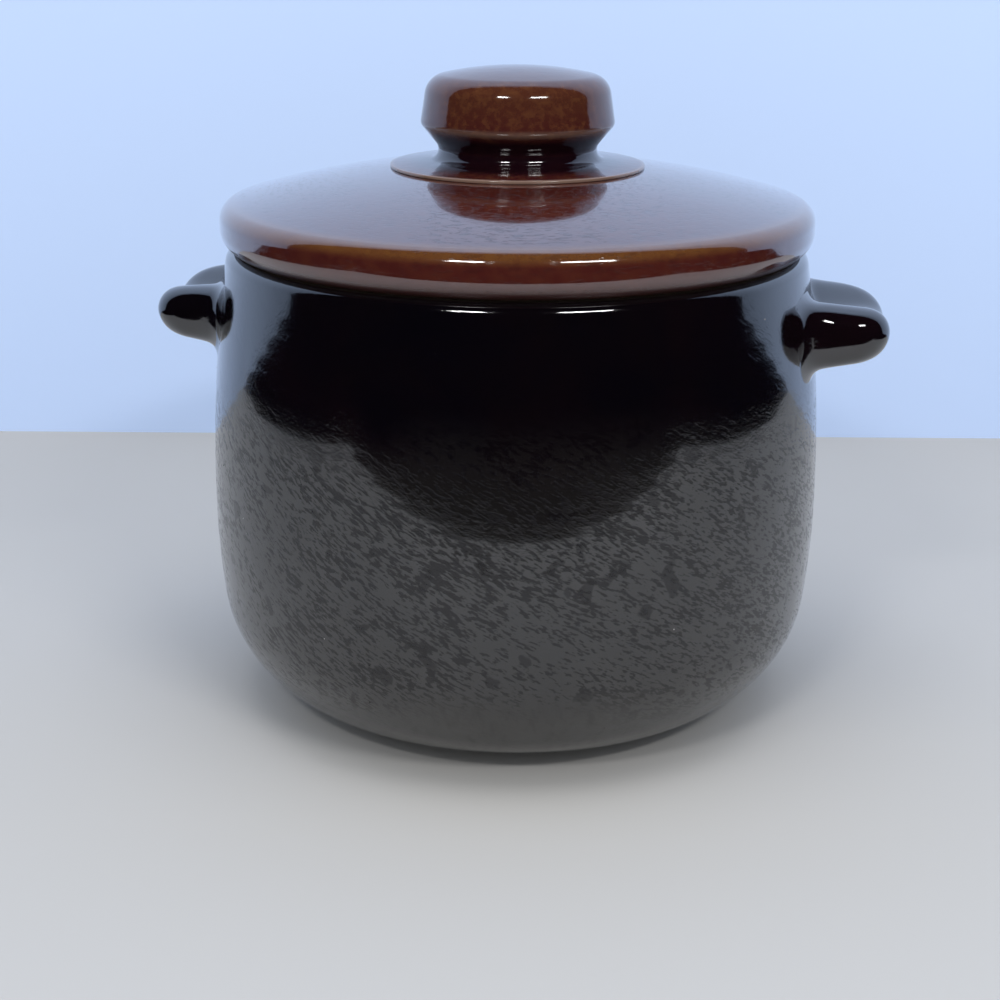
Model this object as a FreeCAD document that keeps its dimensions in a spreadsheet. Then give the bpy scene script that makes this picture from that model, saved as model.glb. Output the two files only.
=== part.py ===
import FreeCAD, Part
import math
import os
import Sketcher

# Stoneware bean pot with two lug handles and a lift-off lid, in millimetres.
# The frame: Z is the turned axis of the pot, Z = 0 is the plane it stands on,
# and the lug handles lie along X.

Vector = FreeCAD.Vector

# Driving dimensions: alias, value, what it measures.
SIZES = [
    ("belly_radius", 95.0, "outer radius of the pot at its widest"),
    ("belly_height", 63.7, "height of the widest level"),
    ("lower_flank_radius", 240.0, "arc of the wall below the widest level"),
    ("upper_flank_radius", 500.0, "arc of the wall above the widest level"),
    ("corner_radius", 38.5, "arc between wall and floor"),
    ("foot_height", 1.3, "lowest glazed level above the table"),
    ("foot_inset", 35.0, "how far the dry foot ring stands in from the widest level"),
    ("foot_width", 8.0, "width of the foot ring"),
    ("foot_recess", 2.8, "depth of the recess inside the foot ring"),
    ("foot_round", 0.6, "rounding of the foot ring's edges"),
    ("rim_height", 143.7, "height of the rim"),
    ("wall", 7.5, "thickness of wall and floor"),
    ("rim_round_outer", 4.0, "rounding outside the rim"),
    ("rim_round_inner", 2.0, "rounding inside the rim"),
    ("lid_overhang", 1.84, "how far the lid's edge stands out past the wall at the rim"),
    ("lid_under_radius", 6.5, "rounding under the lid's edge"),
    ("lid_shoulder_radius", 5.0, "rounding over the lid's edge"),
    ("dome_radius", 321.0, "arc of the lid's top"),
    ("dome_rise", 25.9, "crown of the lid above the rim"),
    ("lid_wall", 7.5, "thickness of the lid"),
    ("flange_clearance", 1.8, "gap all round between the flange and the mouth"),
    ("flange_depth", 7.0, "how far the locating flange drops into the mouth"),
    ("flange_width", 6.5, "width of the locating flange"),
    ("flange_round", 1.8, "rounding of the flange's edges"),
    ("lid_cove", 6.0, "cove between the flange and the underside"),
    ("knob_foot_radius", 38.7, "outer radius of the knob's flared foot"),
    ("knob_foot_edge", 1.0, "height of the foot's edge above the lid"),
    ("knob_foot_round", 0.5, "rounding of the foot's edge"),
    ("knob_neck_radius", 24.1, "narrowest radius under the knob"),
    ("knob_neck_height", 29.0, "height of the neck above the rim"),
    ("knob_radius", 29.3, "widest radius of the knob"),
    ("knob_widest_height", 37.2, "height of the knob's widest level above the rim"),
    ("knob_lean", 1.2, "how much narrower the knob is at its shoulder"),
    ("knob_shoulder_radius", 6.5, "rounding of the knob's top edge"),
    ("knob_lip_radius", 2.4, "rounding of the knob's lower edge"),
    ("knob_cove_radius", 3.0, "cove between the neck and the flared foot"),
    ("knob_crown_radius", 110.0, "arc of the knob's top"),
    ("knob_height", 53.4, "height of the knob's top above the rim"),
    ("knob_wall", 7.0, "wall of the hollow knob"),
    ("lug_drop_right", 22.9, "from the rim down to the right lug's middle at its root"),
    ("lug_drop_left", 21.3, "from the rim down to the left lug's middle at its root"),
    ("lug_reach_right", 18.6, "how far the right lug's tip stands out past the widest level"),
    ("lug_reach_left", 15.4, "how far the left lug's tip stands out past the widest level"),
    ("lug_sink", 15.0, "how far inside the widest level a lug starts, before the wall cuts it"),
    ("lug_thickness_right", 21.4, "thickness of the right lug where it starts"),
    ("lug_thickness_left", 20.4, "thickness of the left lug where it starts"),
    ("lug_top_fall", 3.8, "how far a lug's top falls from its start to its tip"),
    ("lug_under_rise", 6.2, "how far a lug's underside rises from its start to its tip"),
    ("lug_half_width", 25.0, "half the width of a lug"),
    ("lug_flare_inset", 1.0, "how far inside the widest level the root's flare ends"),
    ("lug_flare_radius", 8.0, "arc of the root's flare"),
    ("lug_corner", 14.4, "rounding of the outer corners, seen from above"),
    ("lug_round", 4.2, "rounding of the top and bottom edges"),
    ("trough_radius", 26.0, "arc of the thumb trough"),
    ("trough_depth", 5.6, "depth of the thumb trough at the root"),
    ("trough_blend", 7.0, "rounding of the thumb trough's edges"),
]

# The same sums as spreadsheet text, for dimensions that lean on more than one size.
FOOT = "sizes.belly_radius - sizes.foot_inset"
RIM_EDGE = ("sizes.belly_radius - sizes.upper_flank_radius"
            " + sqrt(sizes.upper_flank_radius^2 - (sizes.rim_height - sizes.belly_height)^2)")
MOUTH = ("sizes.belly_radius - sizes.upper_flank_radius"
         " + sqrt((sizes.upper_flank_radius - sizes.wall)^2"
         " - (sizes.rim_height - sizes.belly_height)^2)")
WELL = "sizes.knob_neck_radius - sizes.knob_wall"
APEX = "sizes.rim_height + sizes.dome_rise"
LUG_ROOT = "sizes.belly_radius - sizes.lug_sink"

size = {name: value for name, value, note in SIZES}
doc = FreeCAD.newDocument("bean_pot")


def make_sheet():
    """Put every driving dimension into a spreadsheet cell with an alias."""
    sheet = doc.addObject("Spreadsheet::Sheet", "sizes")
    for row, (name, value, note) in enumerate(SIZES, start=1):
        sheet.set(f"A{row}", name)
        sheet.set(f"B{row}", str(value))
        sheet.set(f"C{row}", note)
        sheet.setAlias(f"B{row}", name)
    doc.recompute()


def origin_plane(body, role):
    """The body's own origin plane or axis with this role."""
    return next(f for f in body.Origin.OriginFeatures if f.Role == role)


def new_sketch(body, name, role):
    """A sketch on one of the body's origin planes."""
    sketch = body.newObject("Sketcher::SketchObject", name)
    sketch.AttachmentSupport = [(origin_plane(body, role), "")]
    sketch.MapMode = "FlatFace"
    return sketch


def add_line(sketch, start, end):
    """A straight edge between two (across, up) points."""
    return sketch.addGeometry(Part.LineSegment(Vector(*start, 0), Vector(*end, 0)), False)


def add_arc(sketch, centre, radius, first, last):
    """An arc counter-clockwise between two angles in radians."""
    circle = Part.Circle(Vector(*centre, 0), Vector(0, 0, 1), radius)
    return sketch.addGeometry(Part.ArcOfCircle(circle, first, last), False)


def join(sketch, chain):
    """Make the edges of a closed outline share their ends; each entry is (edge, first, last)."""
    for (edge, start, end), (following, next_start, next_end) in zip(chain, chain[1:] + chain[:1]):
        sketch.addConstraint(Sketcher.Constraint("Coincident", edge, end, following, next_start))


def bind(sketch, kind, edge, vertex, label, expression):
    """Dimension a vertex from the origin, or an arc's radius, and tie it to the sheet."""
    if kind == "Radius":
        start = sketch.Geometry[edge].Radius
        number = sketch.addConstraint(Sketcher.Constraint(kind, edge, start))
    else:
        point = sketch.getPoint(edge, vertex)
        start = point.x if kind == "DistanceX" else point.y
        number = sketch.addConstraint(Sketcher.Constraint(kind, -1, 1, edge, vertex, start))
    sketch.renameConstraint(number, label)
    sketch.setExpression(f"Constraints.{label}", expression)


def revolve(body, kind, sketch, name):
    """A full turn of the sketch about the Z axis, adding or cutting."""
    feature = body.newObject(f"PartDesign::{kind}", name)
    feature.Profile = sketch
    feature.ReferenceAxis = (sketch, ["V_Axis"])
    feature.Angle = 360.0
    sketch.Visibility = False
    body.Tip = feature
    doc.recompute()
    return feature


def circle_edges(shape, wanted):
    """Names of the circular edges about the Z axis with these (radius, height) pairs."""
    names = []
    for number, edge in enumerate(shape.Edges, start=1):
        if edge.Degenerated:
            continue
        curve = edge.Curve
        if not isinstance(curve, Part.Circle) or abs(curve.Center.x) + abs(curve.Center.y) > 0.01:
            continue
        for radius, height in wanted:
            if abs(curve.Radius - radius) < 0.01 and abs(curve.Center.z - height) < 0.01:
                names.append(f"Edge{number}")
    return names


def round_edges(body, name, wanted, alias):
    """Round the circular edges with these (radius, height) pairs."""
    round_named(body, name, circle_edges(body.Tip.Shape, wanted), alias)


def round_named(body, name, edges, alias):
    """Round the named edges of the body so far."""
    base = body.Tip
    fillet = body.newObject("PartDesign::Fillet", name)
    fillet.Base = (base, edges)
    fillet.Radius = size[alias]
    fillet.setExpression("Radius", f"sizes.{alias}")
    body.Tip = fillet
    doc.recompute()


def wall_radius(height, inset=0.0):
    """Radius of the wall's outer face above the belly, or of a face inset from it."""
    arc = size["upper_flank_radius"] - inset
    centre = size["belly_radius"] - size["upper_flank_radius"]
    return centre + math.sqrt(arc ** 2 - (height - size["belly_height"]) ** 2)


def corner_centre():
    """Centre of the lower corner's arc, which touches the lower flank's arc from inside."""
    up = size["foot_height"] + size["corner_radius"]
    drop = size["belly_height"] - up
    reach = size["lower_flank_radius"] - size["corner_radius"]
    across = size["belly_radius"] - size["lower_flank_radius"] + math.sqrt(reach ** 2 - drop ** 2)
    return across, up


def wall_arcs(inset, top):
    """Centre, radius and last angle of the wall's three arcs, inset by a thickness."""
    corner = corner_centre()
    flank = (size["belly_radius"] - size["lower_flank_radius"], size["belly_height"])
    upper = (size["belly_radius"] - size["upper_flank_radius"], size["belly_height"])
    turn = math.atan2(corner[1] - flank[1], corner[0] - flank[0])
    end = math.asin((top - size["belly_height"]) / (size["upper_flank_radius"] - inset))
    return [
        (corner, size["corner_radius"] - inset, turn),
        (flank, size["lower_flank_radius"] - inset, 0.0),
        (upper, size["upper_flank_radius"] - inset, end),
    ]


def draw_wall(sketch, inset, start_angle, top, inset_text):
    """Draw the three wall arcs from a start angle on the corner up to a height, and bind them."""
    arcs = wall_arcs(inset, top)
    edges = []
    angle = start_angle
    for centre, radius, last in arcs:
        edges.append(add_arc(sketch, centre, radius, angle, last))
        angle = last
    low, flank, upper = edges
    sketch.addConstraint(Sketcher.Constraint("Tangent", low, 2, flank, 1))
    sketch.addConstraint(Sketcher.Constraint("Coincident", flank, 2, upper, 1))
    bind(sketch, "Radius", low, 0, "corner", f"sizes.corner_radius{inset_text}")
    bind(sketch, "Radius", flank, 0, "lower_flank", f"sizes.lower_flank_radius{inset_text}")
    bind(sketch, "Radius", upper, 0, "upper_flank", f"sizes.upper_flank_radius{inset_text}")
    bind(sketch, "DistanceY", low, 3, "corner_level", "sizes.foot_height + sizes.corner_radius")
    bind(sketch, "DistanceY", flank, 3, "lower_flank_level", "sizes.belly_height")
    bind(sketch, "DistanceY", upper, 3, "upper_flank_level", "sizes.belly_height")
    bind(sketch, "DistanceY", upper, 1, "belly_level", "sizes.belly_height")
    bind(sketch, "DistanceX", upper, 1, "belly", f"sizes.belly_radius{inset_text}")
    bind(sketch, "DistanceY", upper, 2, "top_level", "sizes.rim_height")
    return low, upper


def make_vessel():
    """The pot: wall, floor, rounded rim and a dry foot ring."""
    body = doc.addObject("PartDesign::Body", "vessel")
    body.Label = "vessel"
    rim = size["rim_height"]
    foot = size["belly_radius"] - size["foot_inset"]

    # Outside form: foot, corner, flanks, and flat across the rim.
    sketch = new_sketch(body, "vessel_outside", "XZ_Plane")
    corner = corner_centre()
    start = -math.acos((foot - corner[0]) / size["corner_radius"])
    foot_top = corner[1] + size["corner_radius"] * math.sin(start)
    low, upper = draw_wall(sketch, 0.0, start, rim, "")
    floor = add_line(sketch, (0, 0), (foot, 0))
    step = add_line(sketch, (foot, 0), (foot, foot_top))
    across = add_line(sketch, (wall_radius(rim), rim), (0, rim))
    axis = add_line(sketch, (0, rim), (0, 0))
    sketch.addConstraint(Sketcher.Constraint("Coincident", floor, 2, step, 1))
    sketch.addConstraint(Sketcher.Constraint("Coincident", step, 2, low, 1))
    sketch.addConstraint(Sketcher.Constraint("Coincident", upper, 2, across, 1))
    sketch.addConstraint(Sketcher.Constraint("Coincident", across, 2, axis, 1))
    sketch.addConstraint(Sketcher.Constraint("Coincident", axis, 2, floor, 1))
    sketch.addConstraint(Sketcher.Constraint("Coincident", floor, 1, -1, 1))
    sketch.addConstraint(Sketcher.Constraint("Horizontal", floor))
    sketch.addConstraint(Sketcher.Constraint("Vertical", step))
    sketch.addConstraint(Sketcher.Constraint("Horizontal", across))
    sketch.addConstraint(Sketcher.Constraint("Vertical", axis))
    bind(sketch, "DistanceX", step, 1, "foot", FOOT)
    revolve(body, "Revolution", sketch, "vessel_form")

    # Hollow: the same arcs, one wall thickness further in.
    sketch = new_sketch(body, "vessel_inside", "XZ_Plane")
    wall = size["wall"]
    inner_floor = size["foot_height"] + wall
    low, upper = draw_wall(sketch, wall, -math.pi / 2, rim, " - sizes.wall")
    floor = add_line(sketch, (0, inner_floor), (corner[0], inner_floor))
    across = add_line(sketch, (wall_radius(rim, wall), rim), (0, rim))
    axis = add_line(sketch, (0, rim), (0, inner_floor))
    sketch.addConstraint(Sketcher.Constraint("Tangent", floor, 2, low, 1))
    sketch.addConstraint(Sketcher.Constraint("Coincident", upper, 2, across, 1))
    sketch.addConstraint(Sketcher.Constraint("Coincident", across, 2, axis, 1))
    sketch.addConstraint(Sketcher.Constraint("Coincident", axis, 2, floor, 1))
    sketch.addConstraint(Sketcher.Constraint("Horizontal", floor))
    sketch.addConstraint(Sketcher.Constraint("Horizontal", across))
    sketch.addConstraint(Sketcher.Constraint("PointOnObject", axis, 1, -2))
    sketch.addConstraint(Sketcher.Constraint("PointOnObject", axis, 2, -2))
    revolve(body, "Groove", sketch, "vessel_hollow")

    # Recess inside the foot ring.
    sketch = new_sketch(body, "foot_recess", "XZ_Plane")
    inside = foot - size["foot_width"]
    draw_box(sketch, inside, 0.0, size["foot_recess"],
             f"{FOOT} - sizes.foot_width", None, "sizes.foot_recess")
    revolve(body, "Groove", sketch, "foot_ring")

    round_edges(body, "rim_outside", [(wall_radius(rim), rim)], "rim_round_outer")
    round_edges(body, "rim_inside", [(wall_radius(rim, wall), rim)], "rim_round_inner")
    round_edges(body, "foot_edges", [(foot, 0.0), (inside, 0.0)], "foot_round")
    return body


def draw_box(sketch, radius, low, high, radius_text, low_text, high_text):
    """A rectangle from the Z axis out to a radius, between two heights."""
    bottom = add_line(sketch, (0, low), (radius, low))
    side = add_line(sketch, (radius, low), (radius, high))
    top = add_line(sketch, (radius, high), (0, high))
    axis = add_line(sketch, (0, high), (0, low))
    join(sketch, [(bottom, 1, 2), (side, 1, 2), (top, 1, 2), (axis, 1, 2)])
    for edge in (bottom, top):
        sketch.addConstraint(Sketcher.Constraint("Horizontal", edge))
    sketch.addConstraint(Sketcher.Constraint("Vertical", side))
    sketch.addConstraint(Sketcher.Constraint("PointOnObject", axis, 1, -2))
    sketch.addConstraint(Sketcher.Constraint("PointOnObject", axis, 2, -2))
    bind(sketch, "DistanceX", side, 1, "radius", radius_text)
    if low_text:
        bind(sketch, "DistanceY", side, 1, "low", low_text)
    else:
        sketch.addConstraint(Sketcher.Constraint("PointOnObject", side, 1, -1))
    bind(sketch, "DistanceY", side, 2, "high", high_text)


def apex():
    """Height of the lid's dome on the axis, below the knob."""
    return size["rim_height"] + size["dome_rise"]


def dome_height(radius, inset=0.0):
    """Height of the lid's dome, or of a face inset from it, at a radius."""
    arc = size["dome_radius"] - inset
    return apex() - size["dome_radius"] + math.sqrt(arc ** 2 - radius ** 2)


def make_lid():
    """The lid: dome with a deep rounded edge, flat seat and locating flange."""
    body = doc.addObject("PartDesign::Body", "lid")
    body.Label = "lid"
    seat = size["rim_height"]
    outer = wall_radius(seat) + size["lid_overhang"]
    under = size["lid_under_radius"]
    shoulder = size["lid_shoulder_radius"]
    dome_centre = apex() - size["dome_radius"]

    # Outside form: seat, rounded edge, shoulder and dome.
    dome_reach = size["dome_radius"] - shoulder
    shoulder_level = dome_centre + math.sqrt(dome_reach ** 2 - (outer - shoulder) ** 2)
    turn = math.atan2(shoulder_level - dome_centre, outer - shoulder)
    sketch = new_sketch(body, "lid_outside", "XZ_Plane")
    seat_line = add_line(sketch, (0, seat), (outer - under, seat))
    under_arc = add_arc(sketch, (outer - under, seat + under), under, -math.pi / 2, 0)
    band = add_line(sketch, (outer, seat + under), (outer, shoulder_level))
    shoulder_arc = add_arc(sketch, (outer - shoulder, shoulder_level), shoulder, 0, turn)
    dome = add_arc(sketch, (0, dome_centre), size["dome_radius"], turn, math.pi / 2)
    axis = add_line(sketch, (0, apex()), (0, seat))
    chain = (seat_line, under_arc, band, shoulder_arc, dome)
    for first, second in zip(chain, chain[1:]):
        sketch.addConstraint(Sketcher.Constraint("Tangent", first, 2, second, 1))
    sketch.addConstraint(Sketcher.Constraint("Coincident", dome, 2, axis, 1))
    sketch.addConstraint(Sketcher.Constraint("Coincident", axis, 2, seat_line, 1))
    sketch.addConstraint(Sketcher.Constraint("Horizontal", seat_line))
    sketch.addConstraint(Sketcher.Constraint("PointOnObject", dome, 3, -2))
    sketch.addConstraint(Sketcher.Constraint("PointOnObject", dome, 2, -2))
    sketch.addConstraint(Sketcher.Constraint("PointOnObject", axis, 2, -2))
    bind(sketch, "Radius", under_arc, 0, "under", "sizes.lid_under_radius")
    bind(sketch, "Radius", shoulder_arc, 0, "shoulder", "sizes.lid_shoulder_radius")
    bind(sketch, "Radius", dome, 0, "dome", "sizes.dome_radius")
    bind(sketch, "DistanceX", band, 1, "edge", f"{RIM_EDGE} + sizes.lid_overhang")
    bind(sketch, "DistanceY", axis, 1, "apex", APEX)
    bind(sketch, "DistanceY", axis, 2, "seat", "sizes.rim_height")
    revolve(body, "Revolution", sketch, "lid_form")

    # Flange that drops into the mouth, with its clearance.
    mouth = wall_radius(seat, size["wall"])
    flange_outer = mouth - size["flange_clearance"]
    flange_inner = flange_outer - size["flange_width"]
    flange_low = seat - size["flange_depth"]
    flange_text = f"{MOUTH} - sizes.flange_clearance"
    low_text = "sizes.rim_height - sizes.flange_depth"
    sketch = new_sketch(body, "flange_disc", "XZ_Plane")
    draw_box(sketch, flange_outer, flange_low, seat, flange_text, low_text, "sizes.rim_height")
    revolve(body, "Revolution", sketch, "flange_form")

    # Underside: the dome again, one lid thickness lower.
    sketch = new_sketch(body, "lid_underside", "XZ_Plane")
    inset = size["lid_wall"]
    top = dome_height(flange_inner, inset)
    start = math.acos(flange_inner / (size["dome_radius"] - inset))
    floor = add_line(sketch, (0, flange_low), (flange_inner, flange_low))
    side = add_line(sketch, (flange_inner, flange_low), (flange_inner, top))
    ceiling = add_arc(sketch, (0, dome_centre), size["dome_radius"] - inset, start, math.pi / 2)
    axis = add_line(sketch, (0, apex() - inset), (0, flange_low))
    join(sketch, [(floor, 1, 2), (side, 1, 2), (ceiling, 1, 2), (axis, 1, 2)])
    sketch.addConstraint(Sketcher.Constraint("Horizontal", floor))
    sketch.addConstraint(Sketcher.Constraint("Vertical", side))
    sketch.addConstraint(Sketcher.Constraint("PointOnObject", ceiling, 3, -2))
    sketch.addConstraint(Sketcher.Constraint("PointOnObject", ceiling, 2, -2))
    sketch.addConstraint(Sketcher.Constraint("PointOnObject", axis, 2, -2))
    bind(sketch, "Radius", ceiling, 0, "ceiling", "sizes.dome_radius - sizes.lid_wall")
    bind(sketch, "DistanceY", axis, 1, "ceiling_top", f"{APEX} - sizes.lid_wall")
    bind(sketch, "DistanceX", side, 1, "side", f"{flange_text} - sizes.flange_width")
    bind(sketch, "DistanceY", side, 1, "low", low_text)
    revolve(body, "Groove", sketch, "lid_hollow")

    # Well under the knob.
    sketch = new_sketch(body, "lid_well", "XZ_Plane")
    draw_box(sketch, size["knob_neck_radius"] - size["knob_wall"], flange_low, apex(),
             WELL, low_text, APEX)
    revolve(body, "Groove", sketch, "well")

    round_edges(body, "underside_cove", [(flange_inner, top)], "lid_cove")
    round_edges(body, "flange_edges", [(flange_inner, flange_low), (flange_outer, flange_low)],
                "flange_round")
    return body


def tangent_normal(first, second, projection, turn):
    """Angle of the unit normal n with (second - first) . n = projection, on the left (1) or right (-1)."""
    across = second[0] - first[0]
    up = second[1] - first[1]
    return math.atan2(up, across) + turn * math.acos(projection / math.hypot(across, up))


def on_circle(centre, radius, angle):
    """The point of a circle at an angle."""
    return centre[0] + radius * math.cos(angle), centre[1] + radius * math.sin(angle)


def make_knob():
    """The hollow knob: flared foot, neck with a cove, chamfer, lip, leaning side and crown."""
    body = doc.addObject("PartDesign::Body", "knob")
    body.Label = "knob"
    rim = size["rim_height"]
    foot = size["knob_foot_radius"]
    dome_centre = apex() - size["dome_radius"]
    foot_low = dome_height(foot)
    foot_top = foot_low + size["knob_foot_edge"]
    cove_radius = size["knob_cove_radius"]
    lip_radius = size["knob_lip_radius"]
    shoulder = size["knob_shoulder_radius"]
    crown = size["knob_crown_radius"]
    top = rim + size["knob_height"]

    # Centres of the arcs.
    cove = (size["knob_neck_radius"] + cove_radius, rim + size["knob_neck_height"])
    lip = (size["knob_radius"] - lip_radius, rim + size["knob_widest_height"])
    crown_centre = (0.0, top - crown)
    shoulder_across = size["knob_radius"] - size["knob_lean"] - shoulder
    shoulder_up = crown_centre[1] + math.sqrt((crown - shoulder) ** 2 - shoulder_across ** 2)
    bulge = (shoulder_across, shoulder_up)

    # Angles at which the straight stretches leave the arcs.
    flare_turn = tangent_normal((foot, foot_top), cove, cove_radius, -1) + math.pi
    chamfer_turn = tangent_normal(cove, lip, cove_radius + lip_radius, 1)
    side_turn = tangent_normal(lip, bulge, lip_radius - shoulder, -1)
    crown_turn = math.atan2(bulge[1] - crown_centre[1], bulge[0])

    sketch = new_sketch(body, "knob_outside", "XZ_Plane")
    seat = add_arc(sketch, (0, dome_centre), size["dome_radius"],
                   math.acos(foot / size["dome_radius"]), math.pi / 2)
    edge = add_line(sketch, (foot, foot_low), (foot, foot_top))
    flare = add_line(sketch, (foot, foot_top), on_circle(cove, cove_radius, flare_turn))
    cove_arc = add_arc(sketch, cove, cove_radius, chamfer_turn, flare_turn)
    chamfer = add_line(sketch, on_circle(cove, cove_radius, chamfer_turn),
                       on_circle(lip, lip_radius, chamfer_turn - math.pi))
    lip_arc = add_arc(sketch, lip, lip_radius, chamfer_turn - math.pi, side_turn)
    side = add_line(sketch, on_circle(lip, lip_radius, side_turn),
                    on_circle(bulge, shoulder, side_turn))
    shoulder_arc = add_arc(sketch, bulge, shoulder, side_turn, crown_turn)
    crown_arc = add_arc(sketch, crown_centre, crown, crown_turn, math.pi / 2)
    axis = add_line(sketch, (0, top), (0, apex()))
    sketch.addConstraint(Sketcher.Constraint("Coincident", seat, 1, edge, 1))
    sketch.addConstraint(Sketcher.Constraint("Coincident", edge, 2, flare, 1))
    sketch.addConstraint(Sketcher.Constraint("Tangent", flare, 2, cove_arc, 2))
    sketch.addConstraint(Sketcher.Constraint("Tangent", cove_arc, 1, chamfer, 1))
    chain = (chamfer, lip_arc, side, shoulder_arc, crown_arc)
    for first, second in zip(chain, chain[1:]):
        sketch.addConstraint(Sketcher.Constraint("Tangent", first, 2, second, 1))
    sketch.addConstraint(Sketcher.Constraint("Coincident", crown_arc, 2, axis, 1))
    sketch.addConstraint(Sketcher.Constraint("Coincident", axis, 2, seat, 2))
    sketch.addConstraint(Sketcher.Constraint("Vertical", edge))
    for arc in (seat, crown_arc):
        sketch.addConstraint(Sketcher.Constraint("PointOnObject", arc, 3, -2))
        sketch.addConstraint(Sketcher.Constraint("PointOnObject", arc, 2, -2))
    bind(sketch, "Radius", seat, 0, "seat", "sizes.dome_radius")
    bind(sketch, "Radius", cove_arc, 0, "cove", "sizes.knob_cove_radius")
    bind(sketch, "Radius", lip_arc, 0, "lip", "sizes.knob_lip_radius")
    bind(sketch, "Radius", shoulder_arc, 0, "shoulder", "sizes.knob_shoulder_radius")
    bind(sketch, "Radius", crown_arc, 0, "crown", "sizes.knob_crown_radius")
    bind(sketch, "DistanceY", axis, 2, "seat_top", APEX)
    bind(sketch, "DistanceX", edge, 1, "foot", "sizes.knob_foot_radius")
    bind(sketch, "DistanceY", axis, 1, "top", "sizes.rim_height + sizes.knob_height")
    bind(sketch, "DistanceX", cove_arc, 3, "neck", "sizes.knob_neck_radius + sizes.knob_cove_radius")
    bind(sketch, "DistanceY", cove_arc, 3, "neck_level", "sizes.rim_height + sizes.knob_neck_height")
    bind(sketch, "DistanceX", lip_arc, 3, "widest", "sizes.knob_radius - sizes.knob_lip_radius")
    bind(sketch, "DistanceY", lip_arc, 3, "widest_level", "sizes.rim_height + sizes.knob_widest_height")
    bind(sketch, "DistanceX", shoulder_arc, 3, "shoulder_across",
         "sizes.knob_radius - sizes.knob_lean - sizes.knob_shoulder_radius")
    revolve(body, "Revolution", sketch, "knob_form")

    # Hollow, one knob wall inside the outline and open through the lid's well.
    wall = size["knob_wall"]
    well = size["knob_neck_radius"] - wall
    head = size["knob_radius"] - wall
    neck_level = cove[1] + wall / 2
    ceiling_radius = crown - wall
    ceiling_edge = head - size["knob_lean"]
    ceiling_up = crown_centre[1] + math.sqrt(ceiling_radius ** 2 - ceiling_edge ** 2)
    sketch = new_sketch(body, "knob_inside", "XZ_Plane")
    low = size["rim_height"]
    floor = add_line(sketch, (0, low), (well, low))
    throat = add_line(sketch, (well, low), (well, neck_level))
    widening = add_line(sketch, (well, neck_level), (head, lip[1]))
    upright = add_line(sketch, (head, lip[1]), (ceiling_edge, ceiling_up))
    ceiling = add_arc(sketch, crown_centre, ceiling_radius,
                      math.acos(ceiling_edge / ceiling_radius), math.pi / 2)
    axis = add_line(sketch, (0, top - wall), (0, low))
    join(sketch, [(floor, 1, 2), (throat, 1, 2), (widening, 1, 2), (upright, 1, 2),
                  (ceiling, 1, 2), (axis, 1, 2)])
    sketch.addConstraint(Sketcher.Constraint("Horizontal", floor))
    sketch.addConstraint(Sketcher.Constraint("Vertical", throat))
    sketch.addConstraint(Sketcher.Constraint("PointOnObject", ceiling, 3, -2))
    sketch.addConstraint(Sketcher.Constraint("PointOnObject", ceiling, 2, -2))
    sketch.addConstraint(Sketcher.Constraint("PointOnObject", axis, 2, -2))
    bind(sketch, "DistanceX", throat, 1, "well", WELL)
    bind(sketch, "DistanceY", throat, 1, "low", "sizes.rim_height")
    bind(sketch, "DistanceY", throat, 2, "throat_top",
         "sizes.rim_height + sizes.knob_neck_height + sizes.knob_wall / 2")
    bind(sketch, "DistanceX", upright, 1, "head", "sizes.knob_radius - sizes.knob_wall")
    bind(sketch, "DistanceY", upright, 1, "head_level", "sizes.rim_height + sizes.knob_widest_height")
    bind(sketch, "DistanceX", upright, 2, "ceiling_edge",
         "sizes.knob_radius - sizes.knob_wall - sizes.knob_lean")
    bind(sketch, "Radius", ceiling, 0, "ceiling", "sizes.knob_crown_radius - sizes.knob_wall")
    bind(sketch, "DistanceY", axis, 1, "ceiling_top",
         "sizes.rim_height + sizes.knob_height - sizes.knob_wall")
    revolve(body, "Groove", sketch, "knob_hollow")

    round_edges(body, "foot_edge", [(foot, foot_top)], "knob_foot_round")
    return body


def blank_height(side):
    """Height of the plain block that a lug is cut from."""
    return size[f"lug_thickness_{side}"] + 2 * size["lug_round"]


def blank_text(side):
    """The same height as spreadsheet text."""
    return f"sizes.lug_thickness_{side} + 2 * sizes.lug_round"


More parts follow.
